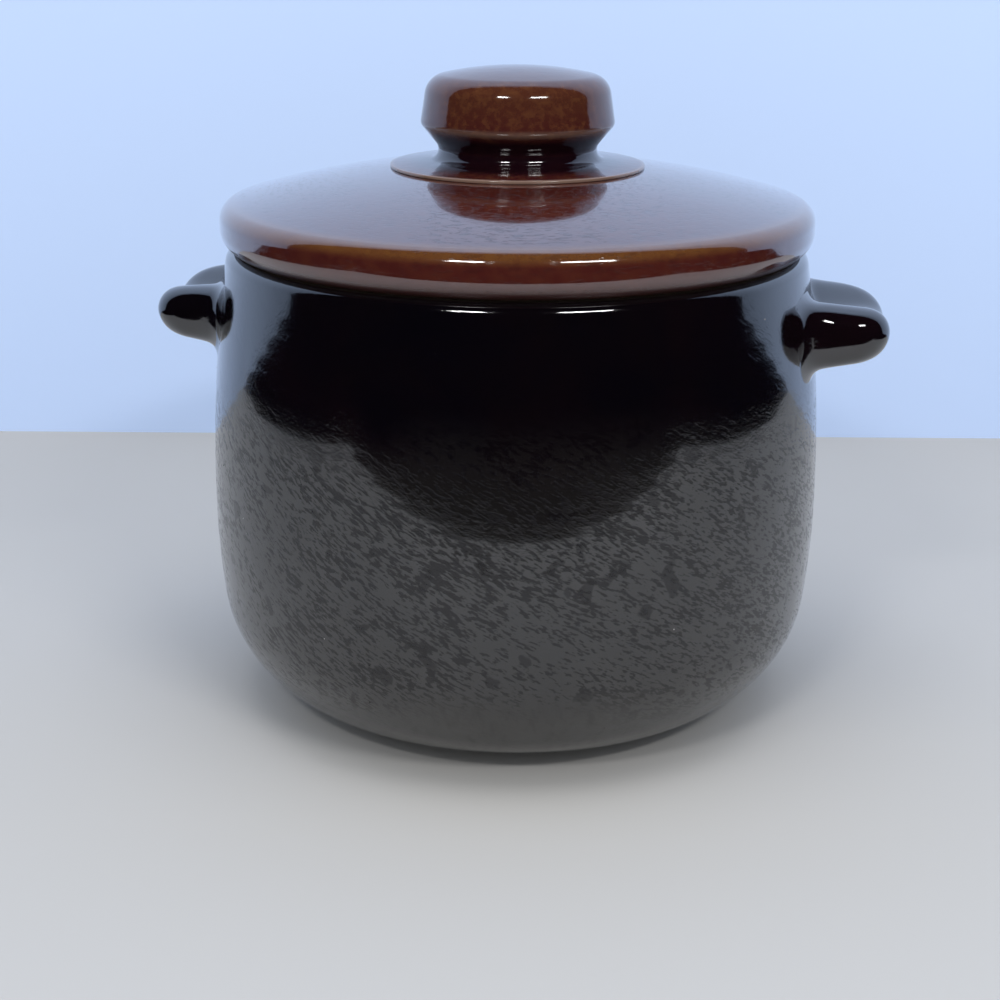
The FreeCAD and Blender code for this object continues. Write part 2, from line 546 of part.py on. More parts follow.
def draw_lug_plan(body, side):
    """The lug seen from above: flared root, straight sides and rounded outer corners."""
    belly = size["belly_radius"]
    root = belly - size["lug_sink"]
    half = size["lug_half_width"]
    flare = size["lug_flare_radius"]
    flare_end = belly - size["lug_flare_inset"]
    corner = size["lug_corner"]
    reach = belly + size[f"lug_reach_{side}"]
    sketch = new_sketch(body, f"lug_{side}_plan", "XY_Plane")
    level = size["rim_height"] - size[f"lug_drop_{side}"] - blank_height(side) / 2
    sketch.AttachmentOffset = FreeCAD.Placement(Vector(0, 0, level), FreeCAD.Rotation())
    sketch.setExpression("AttachmentOffset.Base.z",
                         f"sizes.rim_height - sizes.lug_drop_{side} - ({blank_text(side)}) / 2")
    wide = half + flare
    tip = add_line(sketch, (reach, corner - half), (reach, half - corner))
    left_corner = add_arc(sketch, (reach - corner, half - corner), corner, 0, math.pi / 2)
    left_side = add_line(sketch, (reach - corner, half), (flare_end, half))
    left_flare = add_arc(sketch, (flare_end, wide), flare, math.pi, 1.5 * math.pi)
    left_root = add_line(sketch, (flare_end - flare, wide), (root, wide))
    back = add_line(sketch, (root, wide), (root, -wide))
    right_root = add_line(sketch, (root, -wide), (flare_end - flare, -wide))
    right_flare = add_arc(sketch, (flare_end, -wide), flare, math.pi / 2, math.pi)
    right_side = add_line(sketch, (flare_end, -half), (reach - corner, -half))
    right_corner = add_arc(sketch, (reach - corner, corner - half), corner, 1.5 * math.pi, math.tau)
    for first, end, second, start in (
        (tip, 2, left_corner, 1), (left_corner, 2, left_side, 1), (left_side, 2, left_flare, 2),
        (right_flare, 1, right_side, 1), (right_side, 2, right_corner, 1), (right_corner, 2, tip, 1),
    ):
        sketch.addConstraint(Sketcher.Constraint("Tangent", first, end, second, start))
    join_ends = ((left_flare, 1, left_root, 1), (left_root, 2, back, 1), (back, 2, right_root, 1),
                 (right_root, 2, right_flare, 2))
    for first, end, second, start in join_ends:
        sketch.addConstraint(Sketcher.Constraint("Coincident", first, end, second, start))
    for edge in (left_root, right_root, left_side, right_side):
        sketch.addConstraint(Sketcher.Constraint("Horizontal", edge))
    for edge in (tip, back):
        sketch.addConstraint(Sketcher.Constraint("Vertical", edge))
    wide_text = "sizes.lug_half_width + sizes.lug_flare_radius"
    bind(sketch, "DistanceX", tip, 1, "reach", f"sizes.belly_radius + sizes.lug_reach_{side}")
    bind(sketch, "DistanceY", left_side, 1, "left_side", "sizes.lug_half_width")
    bind(sketch, "DistanceY", right_side, 1, "right_side", "-sizes.lug_half_width")
    bind(sketch, "Radius", left_corner, 0, "left_corner", "sizes.lug_corner")
    bind(sketch, "Radius", right_corner, 0, "right_corner", "sizes.lug_corner")
    bind(sketch, "DistanceX", back, 1, "root", LUG_ROOT)
    for edge, label, sign in ((left_flare, "left_flare", ""), (right_flare, "right_flare", "-")):
        bind(sketch, "Radius", edge, 0, label, "sizes.lug_flare_radius")
        bind(sketch, "DistanceX", edge, 3, f"{label}_x", "sizes.belly_radius - sizes.lug_flare_inset")
        end = 1 if edge == left_flare else 2
        bind(sketch, "DistanceY", edge, end, f"{label}_y", f"{sign}({wide_text})")
    return sketch


def draw_lug_taper(body, side):
    """What the lug's falling top and rising underside take away, seen from the side."""
    root = size["belly_radius"] - size["lug_sink"]
    end = size["belly_radius"] + size[f"lug_reach_{side}"]
    height = size["rim_height"] - size[f"lug_drop_{side}"]
    level_text = f"sizes.rim_height - sizes.lug_drop_{side}"
    half = size[f"lug_thickness_{side}"] / 2
    sketch = new_sketch(body, f"lug_{side}_taper", "XZ_Plane")
    for label, sign, change in (("top", 1, "lug_top_fall"), ("under", -1, "lug_under_rise")):
        near = height + sign * half
        far = near - sign * size[change]
        outside = height + sign * blank_height(side) / 2
        text = "+" if sign > 0 else "-"
        away = "-" if sign > 0 else "+"
        near_text = f"{level_text} {text} sizes.lug_thickness_{side} / 2"
        slope = add_line(sketch, (root, near), (end, far))
        outer = add_line(sketch, (end, far), (end, outside))
        cap = add_line(sketch, (end, outside), (root, outside))
        back = add_line(sketch, (root, outside), (root, near))
        join(sketch, [(slope, 1, 2), (outer, 1, 2), (cap, 1, 2), (back, 1, 2)])
        sketch.addConstraint(Sketcher.Constraint("Vertical", outer))
        sketch.addConstraint(Sketcher.Constraint("Horizontal", cap))
        sketch.addConstraint(Sketcher.Constraint("Vertical", back))
        bind(sketch, "DistanceX", slope, 1, f"{label}_root", LUG_ROOT)
        bind(sketch, "DistanceX", slope, 2, f"{label}_end", f"sizes.belly_radius + sizes.lug_reach_{side}")
        bind(sketch, "DistanceY", slope, 1, f"{label}_near", near_text)
        bind(sketch, "DistanceY", slope, 2, f"{label}_far", f"{near_text} {away} sizes.{change}")
        bind(sketch, "DistanceY", cap, 1, f"{label}_cap", f"{level_text} {text} ({blank_text(side)}) / 2")
    return sketch


def draw_trough(body, side):
    """The thumb trough's round section across the lug."""
    radius = size["trough_radius"]
    top = size["rim_height"] - size[f"lug_drop_{side}"] + size[f"lug_thickness_{side}"] / 2
    sketch = new_sketch(body, f"lug_{side}_trough", "YZ_Plane")
    circle = Part.Circle(Vector(0, top - size["trough_depth"] + radius, 0), Vector(0, 0, 1), radius)
    edge = sketch.addGeometry(circle, False)
    sketch.addConstraint(Sketcher.Constraint("PointOnObject", edge, 3, -2))
    bind(sketch, "Radius", edge, 0, "trough", "sizes.trough_radius")
    bind(sketch, "DistanceY", edge, 3, "trough_level",
         f"sizes.rim_height - sizes.lug_drop_{side} + sizes.lug_thickness_{side} / 2"
         " - sizes.trough_depth + sizes.trough_radius")
    return sketch


def extrude(body, kind, sketch, name, length_text, both_ways):
    """Add or cut the sketch's outline, straight along its normal."""
    feature = body.newObject(f"PartDesign::{kind}", name)
    feature.Profile = sketch
    feature.setExpression("Length", length_text)
    if both_ways:
        feature.SideType = "Symmetric"
    sketch.Visibility = False
    body.Tip = feature
    doc.recompute()
    return feature


def trough_edges(shape):
    """The two long straight edges between the trough and the lug's top."""
    names = []
    for number, edge in enumerate(shape.Edges, start=1):
        ends = [vertex.Point for vertex in edge.Vertexes]
        if len(ends) != 2 or abs(ends[0].x - ends[1].x) < size["lug_corner"]:
            continue
        faces = [f for f in shape.Faces if any(e.isSame(edge) for e in f.Edges)]
        if any(isinstance(face.Surface, Part.Cylinder)
               and abs(face.Surface.Radius - size["trough_radius"]) < 0.01 for face in faces):
            names.append(f"Edge{number}")
    return names


def rim_edges(shape, side):
    """Edges round the top and the underside, apart from those inside the wall."""
    root = size["belly_radius"] - size["lug_sink"]
    wide = size["lug_half_width"] + size["lug_flare_radius"]
    straight = size["lug_half_width"] - size["lug_corner"] / 2
    names = []
    for number, edge in enumerate(shape.Edges, start=1):
        ends = [vertex.Point for vertex in edge.Vertexes]
        if len(ends) != 2:
            continue
        first, last = ends
        at_root = max(first.x, last.x) < root + 0.01
        at_flare = min(abs(first.y), abs(last.y)) > wide - 0.01
        upright = abs(first.z - last.z) > size[f"lug_thickness_{side}"] / 3
        along = abs(first.x - last.x) > size["lug_corner"]
        beside_trough = along and max(abs(first.y), abs(last.y)) < straight
        if not (at_root or at_flare or upright or beside_trough):
            names.append(f"Edge{number}")
    return names


def make_lug(side, turn):
    """A lug handle: a tapered rounded slab with a thumb trough on top, seated on the wall."""
    name = f"lug_{side}"
    body = doc.addObject("PartDesign::Body", name)
    body.Label = name
    # A cut that runs this far both ways clears the whole lug.
    clear = f"2 * (sizes.belly_radius + sizes.lug_reach_{side})"
    extrude(body, "Pad", draw_lug_plan(body, side), f"{name}_blank", blank_text(side), False)
    extrude(body, "Pocket", draw_lug_taper(body, side), f"{name}_tapered", clear, True)
    extrude(body, "Pocket", draw_trough(body, side), f"{name}_troughed", clear, True)
    round_named(body, f"{name}_trough_edges", trough_edges(body.Tip.Shape), "trough_blend")
    round_named(body, f"{name}_edges", rim_edges(body.Tip.Shape, side), "lug_round")

    # Cut back to the wall's face, on the wall's own arc.
    low = size["belly_height"]
    high = size["rim_height"]
    centre = (size["belly_radius"] - size["upper_flank_radius"], low)
    arc = size["upper_flank_radius"]
    sketch = new_sketch(body, f"{name}_seat", "XZ_Plane")
    bottom = add_line(sketch, (0, low), (size["belly_radius"], low))
    face = add_arc(sketch, centre, arc, 0, math.asin((high - low) / arc))
    top = add_line(sketch, (wall_radius(high), high), (0, high))
    axis = add_line(sketch, (0, high), (0, low))
    join(sketch, [(bottom, 1, 2), (face, 1, 2), (top, 1, 2), (axis, 1, 2)])
    for edge in (bottom, top):
        sketch.addConstraint(Sketcher.Constraint("Horizontal", edge))
    sketch.addConstraint(Sketcher.Constraint("PointOnObject", axis, 1, -2))
    sketch.addConstraint(Sketcher.Constraint("PointOnObject", axis, 2, -2))
    bind(sketch, "Radius", face, 0, "face", "sizes.upper_flank_radius")
    bind(sketch, "DistanceX", face, 1, "belly", "sizes.belly_radius")
    bind(sketch, "DistanceY", face, 1, "belly_level", "sizes.belly_height")
    bind(sketch, "DistanceY", face, 3, "centre_level", "sizes.belly_height")
    bind(sketch, "DistanceY", face, 2, "rim", "sizes.rim_height")
    revolve(body, "Groove", sketch, f"{name}_seated")
    body.Placement = FreeCAD.Placement(Vector(0, 0, 0), FreeCAD.Rotation(Vector(0, 0, 1), turn))
    doc.recompute()
    return body


def check(bodies):
    """Stop if any object failed, or any piece isn't one valid solid."""
    for item in doc.Objects:
        if "Invalid" in item.State or "Error" in item.State:
            raise RuntimeError(f"{item.Name} failed: {item.State}")
    for body in bodies:
        shape = body.Shape
        if shape.isNull() or not shape.isValid() or len(shape.Solids) != 1:
            raise RuntimeError(f"{body.Label} is not one valid solid")
        box = shape.BoundBox
        print(f"{body.Label}: volume {shape.Volume / 1000:.1f} cm3, "
              f"X {box.XMin:.1f} to {box.XMax:.1f}, Y {box.YMin:.1f} to {box.YMax:.1f}, "
              f"Z {box.ZMin:.1f} to {box.ZMax:.1f}")


make_sheet()
pieces = [
    make_vessel(),
    make_lug("right", 0),
    make_lug("left", 180),
    make_lid(),
    make_knob(),
]
doc.recompute()
check(pieces)
os.makedirs("parts", exist_ok=True)
for piece in pieces:
    piece.Shape.exportStep(f"parts/{piece.Label}.step")
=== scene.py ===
# %% [markdown]
# # A stoneware bean pot
#
# A thrown pot is a shape with a rule: one outline, turned about an axis. This lesson
# spins the pot, its lid and its knob from outlines with Geometry Nodes, grows the two
# lug handles from a distance field, and glazes everything with procedural materials.
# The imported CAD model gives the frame: every piece sits where the CAD says.

# %% Load the frame
import math

import bpy
import numpy as np
from mathutils import Matrix, Vector
from mathutils.bvhtree import BVHTree


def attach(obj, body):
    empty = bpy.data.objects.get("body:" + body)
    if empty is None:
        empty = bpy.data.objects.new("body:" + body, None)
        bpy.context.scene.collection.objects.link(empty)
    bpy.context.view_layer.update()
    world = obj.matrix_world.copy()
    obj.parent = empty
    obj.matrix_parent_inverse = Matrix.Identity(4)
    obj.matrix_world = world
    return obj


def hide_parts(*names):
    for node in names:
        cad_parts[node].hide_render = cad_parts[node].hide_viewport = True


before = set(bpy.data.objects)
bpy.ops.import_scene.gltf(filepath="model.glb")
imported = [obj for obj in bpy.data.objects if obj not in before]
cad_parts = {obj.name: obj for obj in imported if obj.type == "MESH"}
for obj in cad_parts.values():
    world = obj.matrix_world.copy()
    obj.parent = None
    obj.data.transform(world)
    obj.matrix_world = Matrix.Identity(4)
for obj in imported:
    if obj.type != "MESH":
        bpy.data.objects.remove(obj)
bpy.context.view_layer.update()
print("CAD nodes:", sorted(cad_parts))

# %% [markdown]
# ## Sizes
#
# These are the pot's own sizes, in millimetres, as the CAD part has them. Blender works
# in metres, so outlines are scaled by MM when they become meshes.

# %% Sizes
MM = 0.001
BELLY, BELLY_Z = 95.0, 63.7
LOWER_ARC, UPPER_ARC = 240.0, 500.0
CORNER, FOOT_Z = 38.5, 1.3
FOOT, FOOT_WIDTH, FOOT_RECESS = 60.0, 8.0, 2.8
RIM, WALL = 143.7, 7.5
LID, LID_UNDER, LID_SHOULDER = 90.4, 6.5, 5.0
DOME, APEX = 321.0, RIM + 25.9
LID_WALL, FLANGE_GAP, FLANGE_DEPTH, FLANGE_WIDTH = 7.5, 1.8, 7.0, 6.5
KNOB_FOOT, KNOB_EDGE, NECK, NECK_Z = 38.7, 1.0, 24.1, RIM + 29.0
KNOB, KNOB_Z, KNOB_LEAN = 29.3, RIM + 37.2, 1.2
KNOB_SHOULDER, KNOB_LIP, KNOB_COVE = 6.5, 2.4, 3.0
CROWN, KNOB_TOP, KNOB_WALL = 110.0, RIM + 53.4, 7.0
print(f"belly {2 * BELLY:.0f} mm, rim at {RIM} mm, knob top at {KNOB_TOP:.1f} mm")


# %% [markdown]
# ## Outlines
#
# An outline is a list of (radius, height) points. It runs so that the solid is on its
# left and the open air on its right; the spun surface then faces outwards. Corners that
# the potter would leave crisp still get a small round, which catches the light.

# %% Outline helpers
ARC_DETAIL = 115  # degrees times millimetres: a chord is at most 2 mm long
SHARP = math.radians(14)  # a turn past this is a corner


def arc(centre, radius, first, last, step=3.0):
    """Points of an arc between two angles in degrees, in the order first to last."""
    sweep = abs(last - first)
    count = max(2, math.ceil(sweep / step), math.ceil(sweep * radius / ARC_DETAIL))
    turns = [math.radians(first + (last - first) * k / count) for k in range(count + 1)]
    return [(centre[0] + radius * math.cos(t), centre[1] + radius * math.sin(t)) for t in turns]


def line(start, end, step=4.0):
    """Points of a straight stretch."""
    count = max(1, math.ceil(math.dist(start, end) / step))
    return [(start[0] + (end[0] - start[0]) * k / count, start[1] + (end[1] - start[1]) * k / count)
            for k in range(count + 1)]


def outline(*stretches, crisp=0.35, closed=False):
    """Join stretches, drop doubled points and round every sharp corner a little."""
    points = []
    for stretch in stretches:
        for point in stretch:
            if not points or math.dist(point, points[-1]) > 1e-4:
                points.append(point)
    if closed and math.dist(points[0], points[-1]) < 1e-4:
        points.pop()
    rounded = []
    total = len(points)
    for k, (here_r, here_z) in enumerate(points):
        at_end = not closed and k in (0, total - 1)
        before, after = points[k - 1], points[(k + 1) % total]
        into = (here_r - before[0], here_z - before[1])
        away = (after[0] - here_r, after[1] - here_z)
        turn = abs(math.atan2(into[0] * away[1] - into[1] * away[0],
                              into[0] * away[0] + into[1] * away[1]))
        if at_end or turn < SHARP:
            rounded.append((here_r, here_z))
            continue
        reach = min(crisp * math.tan(turn / 2), 0.4 * math.hypot(*into), 0.4 * math.hypot(*away))
        start = (here_r - into[0] / math.hypot(*into) * reach,
                 here_z - into[1] / math.hypot(*into) * reach)
        end = (here_r + away[0] / math.hypot(*away) * reach,
               here_z + away[1] / math.hypot(*away) * reach)
        for t in (0.0, 0.25, 0.5, 0.75, 1.0):
            rounded.append(tuple((1 - t) ** 2 * start[i] + 2 * t * (1 - t) * (here_r, here_z)[i]
                                 + t ** 2 * end[i] for i in (0, 1)))
    return rounded


def wall_radius(height, inset=0.0):
    """Radius of the wall above the belly, or of a face inset from it."""
    return BELLY - UPPER_ARC + math.sqrt((UPPER_ARC - inset) ** 2 - (height - BELLY_Z) ** 2)


def dome_z(radius, inset=0.0):
    """Height of the lid's dome, or of a face inset from it."""
    return APEX - DOME + math.sqrt((DOME - inset) ** 2 - radius ** 2)


# %% Outline of the pot
corner_z = FOOT_Z + CORNER
corner_r = BELLY - LOWER_ARC + math.sqrt((LOWER_ARC - CORNER) ** 2 - (BELLY_Z - corner_z) ** 2)
flank_turn = -math.degrees(math.asin((BELLY_Z - corner_z) / (LOWER_ARC - CORNER)))
foot_turn = -math.degrees(math.acos((FOOT - corner_r) / CORNER))
RIM_OUT, RIM_IN = 4.0, 2.0
lip_out_z, lip_in_z = RIM - RIM_OUT, RIM - RIM_IN
lip_out_r = BELLY - UPPER_ARC + math.sqrt((UPPER_ARC - RIM_OUT) ** 2 - (lip_out_z - BELLY_Z) ** 2)
lip_in_r = BELLY - UPPER_ARC + math.sqrt((UPPER_ARC - WALL + RIM_IN) ** 2 - (lip_in_z - BELLY_Z) ** 2)
out_turn = math.degrees(math.asin((lip_out_z - BELLY_Z) / (UPPER_ARC - RIM_OUT)))
in_turn = math.degrees(math.asin((lip_in_z - BELLY_Z) / (UPPER_ARC - WALL + RIM_IN)))
flank = (BELLY - LOWER_ARC, BELLY_Z)
upper = (BELLY - UPPER_ARC, BELLY_Z)
corner = (corner_r, corner_z)
foot_top = corner_z + CORNER * math.sin(math.radians(foot_turn))
pot_line = outline(
    line((0, FOOT_RECESS), (FOOT - FOOT_WIDTH, FOOT_RECESS)),
    line((FOOT - FOOT_WIDTH, FOOT_RECESS), (FOOT - FOOT_WIDTH, 0)),
    line((FOOT - FOOT_WIDTH, 0), (FOOT, 0), step=2),
    line((FOOT, 0), (FOOT, foot_top)),
    arc(corner, CORNER, foot_turn, flank_turn),
    arc(flank, LOWER_ARC, flank_turn, 0, step=1),
    arc(upper, UPPER_ARC, 0, out_turn, step=0.4),
    arc((lip_out_r, lip_out_z), RIM_OUT, out_turn, 90, step=6),
    arc((lip_in_r, lip_in_z), RIM_IN, 90, 180 + in_turn, step=9),
    arc(upper, UPPER_ARC - WALL, in_turn, 0, step=0.4),
    arc(flank, LOWER_ARC - WALL, 0, flank_turn, step=1),
    arc(corner, CORNER - WALL, flank_turn, -90),
    line((corner_r, FOOT_Z + WALL), (0, FOOT_Z + WALL)),
    crisp=0.6,
)
print("pot outline:", len(pot_line), "points")

# %% Outline of the lid
well = NECK - KNOB_WALL
mouth = wall_radius(RIM, WALL)
flange_out = mouth - FLANGE_GAP
flange_in = flange_out - FLANGE_WIDTH
flange_low = RIM - FLANGE_DEPTH
shoulder_r = LID - LID_SHOULDER
shoulder_z = APEX - DOME + math.sqrt((DOME - LID_SHOULDER) ** 2 - shoulder_r ** 2)
shoulder_turn = math.degrees(math.atan2(shoulder_z - (APEX - DOME), shoulder_r))
dome_mid = (0.0, APEX - DOME)
COVE, FLANGE_ROUND = 6.0, 1.8
cove_r = flange_in - COVE
COVE_DROP = 5.6
cove_z = dome_z(cove_r, LID_WALL) - COVE_DROP
tip_z = flange_low + FLANGE_ROUND
lid_line = outline(
    line((well, dome_z(well)), (well, dome_z(well, LID_WALL))),
    arc(dome_mid, DOME - LID_WALL, math.degrees(math.acos(well / (DOME - LID_WALL))),
        math.degrees(math.acos(cove_r / (DOME - LID_WALL))), step=0.5),
    arc((cove_r, cove_z), COVE, 80, 0, step=10),
    line((flange_in, cove_z), (flange_in, tip_z)),
    arc((flange_in + FLANGE_ROUND, tip_z), FLANGE_ROUND, 180, 270, step=15),
    arc((flange_out - FLANGE_ROUND, tip_z), FLANGE_ROUND, 270, 360, step=15),
    line((flange_out, tip_z), (flange_out, RIM)),
    line((flange_out, RIM), (LID - LID_UNDER, RIM), step=2),
    arc((LID - LID_UNDER, RIM + LID_UNDER), LID_UNDER, -90, 0, step=5),
    line((LID, RIM + LID_UNDER), (LID, shoulder_z), step=1.5),
    arc((shoulder_r, shoulder_z), LID_SHOULDER, 0, shoulder_turn, step=5),
    arc(dome_mid, DOME, shoulder_turn, math.degrees(math.acos(well / DOME)), step=0.5),
    crisp=0.4, closed=True,
)
print("lid outline:", len(lid_line), "points")

# %% [markdown]
# The knob's straight stretches leave its round ones at angles that follow from the
# rounds themselves: a line that touches two circles meets both at the same turn.


# %% Outline of the knob
def touching(first, second, gap, side):
    """Turn in degrees of the normal that a line touching two circles has, on one side."""
    across, up = second[0] - first[0], second[1] - first[1]
    return math.degrees(math.atan2(up, across) + side * math.acos(gap / math.hypot(across, up)))


def on(centre, radius, turn):
    """The point of a circle at a turn in degrees."""
    angle = math.radians(turn)
    return centre[0] + radius * math.cos(angle), centre[1] + radius * math.sin(angle)


edge_top = (KNOB_FOOT, dome_z(KNOB_FOOT) + KNOB_EDGE)
cove = (NECK + KNOB_COVE, NECK_Z)
lip = (KNOB - KNOB_LIP, KNOB_Z)
crown_mid = (0.0, KNOB_TOP - CROWN)
bulge_r = KNOB - KNOB_LEAN - KNOB_SHOULDER
bulge = (bulge_r, crown_mid[1] + math.sqrt((CROWN - KNOB_SHOULDER) ** 2 - bulge_r ** 2))
flare_turn = touching(edge_top, cove, KNOB_COVE, -1) + 180
chamfer_turn = touching(cove, lip, KNOB_COVE + KNOB_LIP, 1)
side_turn = touching(lip, bulge, KNOB_LIP - KNOB_SHOULDER, -1)
crown_turn = math.degrees(math.atan2(bulge[1] - crown_mid[1], bulge[0]))
head = KNOB - KNOB_WALL
ceiling = CROWN - KNOB_WALL
ceiling_r = head - KNOB_LEAN
ceiling_turn = math.degrees(math.acos(ceiling_r / ceiling))
knob_line = outline(
    arc(crown_mid, ceiling, 90, ceiling_turn, step=2),
    line(on(crown_mid, ceiling, ceiling_turn), (head, KNOB_Z)),
    line((head, KNOB_Z), (well, NECK_Z + KNOB_WALL / 2)),
    line((well, NECK_Z + KNOB_WALL / 2), (well, dome_z(well))),
    arc(dome_mid, DOME, math.degrees(math.acos(well / DOME)),
        math.degrees(math.acos(KNOB_FOOT / DOME)), step=1),
    line((KNOB_FOOT, dome_z(KNOB_FOOT)), edge_top),
    line(edge_top, on(cove, KNOB_COVE, flare_turn), step=2),
    arc(cove, KNOB_COVE, flare_turn, chamfer_turn, step=8),
    line(on(cove, KNOB_COVE, chamfer_turn), on(lip, KNOB_LIP, chamfer_turn - 180), step=2),
    arc(lip, KNOB_LIP, chamfer_turn - 180, side_turn, step=8),
    line(on(lip, KNOB_LIP, side_turn), on(bulge, KNOB_SHOULDER, side_turn), step=2),
    arc(bulge, KNOB_SHOULDER, side_turn, crown_turn, step=4),
    arc(crown_mid, CROWN, crown_turn, 90, step=0.6),
    crisp=0.5,
)
print("knob outline:", len(knob_line), "points")


# %% [markdown]
# ## The wheel
#
# One node group does the turning. It takes the outline as a chain of vertices and bends
# a grid round the axis: the grid's rows read the outline's points and its columns give
# the turn. A low, slow noise keeps the wall from being machine-true, and fine ridges
# round it stay where the potter's fingers passed.

# %% Build the spinning node group
def group_node(tree, kind, links=(), **settings):
    """Add a node, set its properties, and link or set its inputs by name or number."""
    node = tree.nodes.new(kind)
    for name, value in settings.items():
        setattr(node, name, value)
    for key, value in links:
        if isinstance(value, bpy.types.NodeSocket):
            tree.links.new(value, node.inputs[key])
        else:
            node.inputs[key].default_value = value
    return node


def group_math(tree, operation, *values):
    """A float maths node; returns its output socket."""
    node = group_node(tree, "ShaderNodeMath", enumerate(values), operation=operation)
    return node.outputs[0]


def add_inputs(face, *rows):
    """Give a node group named inputs from rows of name, socket kind and first value."""
    for name, kind, value in rows:
        socket = face.new_socket(name, in_out="INPUT", socket_type="NodeSocket" + kind)
        if value is not None:
            socket.default_value = value


def make_wheel():
    """Node group that spins the incoming outline about the Z axis."""
    tree = bpy.data.node_groups.new("wheel", "GeometryNodeTree")
    face = tree.interface
    face.new_socket("Outline", in_out="INPUT", socket_type="NodeSocketGeometry")
    add_inputs(face, ("Segments", "Int", 256), ("Points", "Int", 2), ("Wobble", "Float", 0.0),
               ("Wobble Scale", "Float", 9.0), ("Ridge", "Float", 0.0), ("Ridge Pitch", "Float", 0.006),
               ("Seed", "Int", 1), ("Material", "Material", None))
    face.new_socket("Geometry", in_out="OUTPUT", socket_type="NodeSocketGeometry")
    given = tree.nodes.new("NodeGroupInput").outputs
    segments, points = given["Segments"], given["Points"]
    columns = group_math(tree, "ADD", segments, 1)
    grid = group_node(tree, "GeometryNodeMeshGrid", [("Vertices X", columns), ("Vertices Y", points)])
    index = tree.nodes.new("GeometryNodeInputIndex").outputs[0]
    middle = group_math(tree, "ADD", index, 0.5)
    column = group_math(tree, "FLOOR", group_math(tree, "DIVIDE", middle, points))
    row = group_math(tree, "SUBTRACT", index, group_math(tree, "MULTIPLY", column, points))
    place = tree.nodes.new("GeometryNodeInputPosition").outputs[0]
    sample = group_node(tree, "GeometryNodeSampleIndex",
                        [("Geometry", given["Outline"]), ("Value", place), ("Index", row)],
                        data_type="FLOAT_VECTOR", domain="POINT")
    read = group_node(tree, "ShaderNodeSeparateXYZ", [(0, sample.outputs[0])])
    radius, height = read.outputs[0], read.outputs[2]
    turn = group_math(tree, "MULTIPLY", group_math(tree, "DIVIDE", column, segments), math.tau)
    cosine, sine = group_math(tree, "COSINE", turn), group_math(tree, "SINE", turn)
    true_place = group_node(tree, "ShaderNodeCombineXYZ", [
        (0, group_math(tree, "MULTIPLY", radius, cosine)),
        (1, group_math(tree, "MULTIPLY", radius, sine)), (2, height)])
    noise = group_node(tree, "ShaderNodeTexNoise", [
        ("Vector", true_place.outputs[0]), ("W", given["Seed"]), ("Scale", given["Wobble Scale"]),
        ("Detail", 1.0)], noise_dimensions="4D")
    wobble = group_math(tree, "MULTIPLY", group_math(tree, "SUBTRACT", noise.outputs[0], 0.5),
                        group_math(tree, "MULTIPLY", given["Wobble"], 2.0))
    phase = group_math(tree, "MULTIPLY", height, math.tau)
    wave = group_math(tree, "SINE", group_math(tree, "DIVIDE", phase, given["Ridge Pitch"]))
    ridge = group_math(tree, "MULTIPLY", wave, given["Ridge"])
    # Near the axis nothing may move sideways, or the pole would open.
    hold = group_node(tree, "ShaderNodeMapRange",
                      [(0, radius), (1, 0.002), (2, 0.02), (3, 0.0), (4, 1.0)])
    shift = group_math(tree, "MULTIPLY", group_math(tree, "ADD", wobble, ridge), hold.outputs[0])
    spun = group_math(tree, "ADD", radius, shift)
    new_place = group_node(tree, "ShaderNodeCombineXYZ", [
        (0, group_math(tree, "MULTIPLY", spun, cosine)),
        (1, group_math(tree, "MULTIPLY", spun, sine)), (2, height)])
    bent = group_node(tree, "GeometryNodeSetPosition",
                      [("Geometry", grid.outputs[0]), ("Position", new_place.outputs[0])])
    shut = group_node(tree, "GeometryNodeMergeByDistance",
                      [("Geometry", bent.outputs[0]), ("Distance", 2e-6)])
    smooth = group_node(tree, "GeometryNodeSetShadeSmooth", [("Geometry", shut.outputs[0])])
    real = group_node(tree, "GeometryNodeRealizeInstances", [("Geometry", smooth.outputs[0])])
    made = group_node(tree, "GeometryNodeSetMaterial",
                      [("Geometry", real.outputs[0]), ("Material", given["Material"])])
    result = tree.nodes.new("NodeGroupOutput")
    tree.links.new(made.outputs[0], result.inputs[0])
    return tree


wheel = make_wheel()
print("wheel group:", len(wheel.nodes), "nodes")


# %% Apply a node group and keep a plain mesh
def settle(obj, tree, **inputs):
    """Run a node group on an object, keep what it makes as the object's own mesh."""
    modifier = obj.modifiers.new(tree.name, "NODES")
    modifier.node_group = tree
    for item in tree.interface.items_tree:
        if item.in_out == "INPUT" and item.name in inputs:
            modifier[item.identifier] = inputs[item.name]
    bpy.context.view_layer.update()
    depsgraph = bpy.context.evaluated_depsgraph_get()
    mesh = bpy.data.meshes.new_from_object(obj.evaluated_get(depsgraph))
    obj.modifiers.clear()
    obj.data = mesh
    mesh.name = obj.name
    return obj


def face_outwards(obj, probe):
    """Flip every face if the one nearest the probe point faces the axis."""
    mesh = obj.data
    centres = np.array([p.center for p in mesh.polygons])
    near = int(np.argmin(np.linalg.norm(centres - np.array(probe), axis=1)))
    normal = mesh.polygons[near].normal
    if normal.x * probe[0] + normal.y * probe[1] < 0:
        mesh.flip_normals()


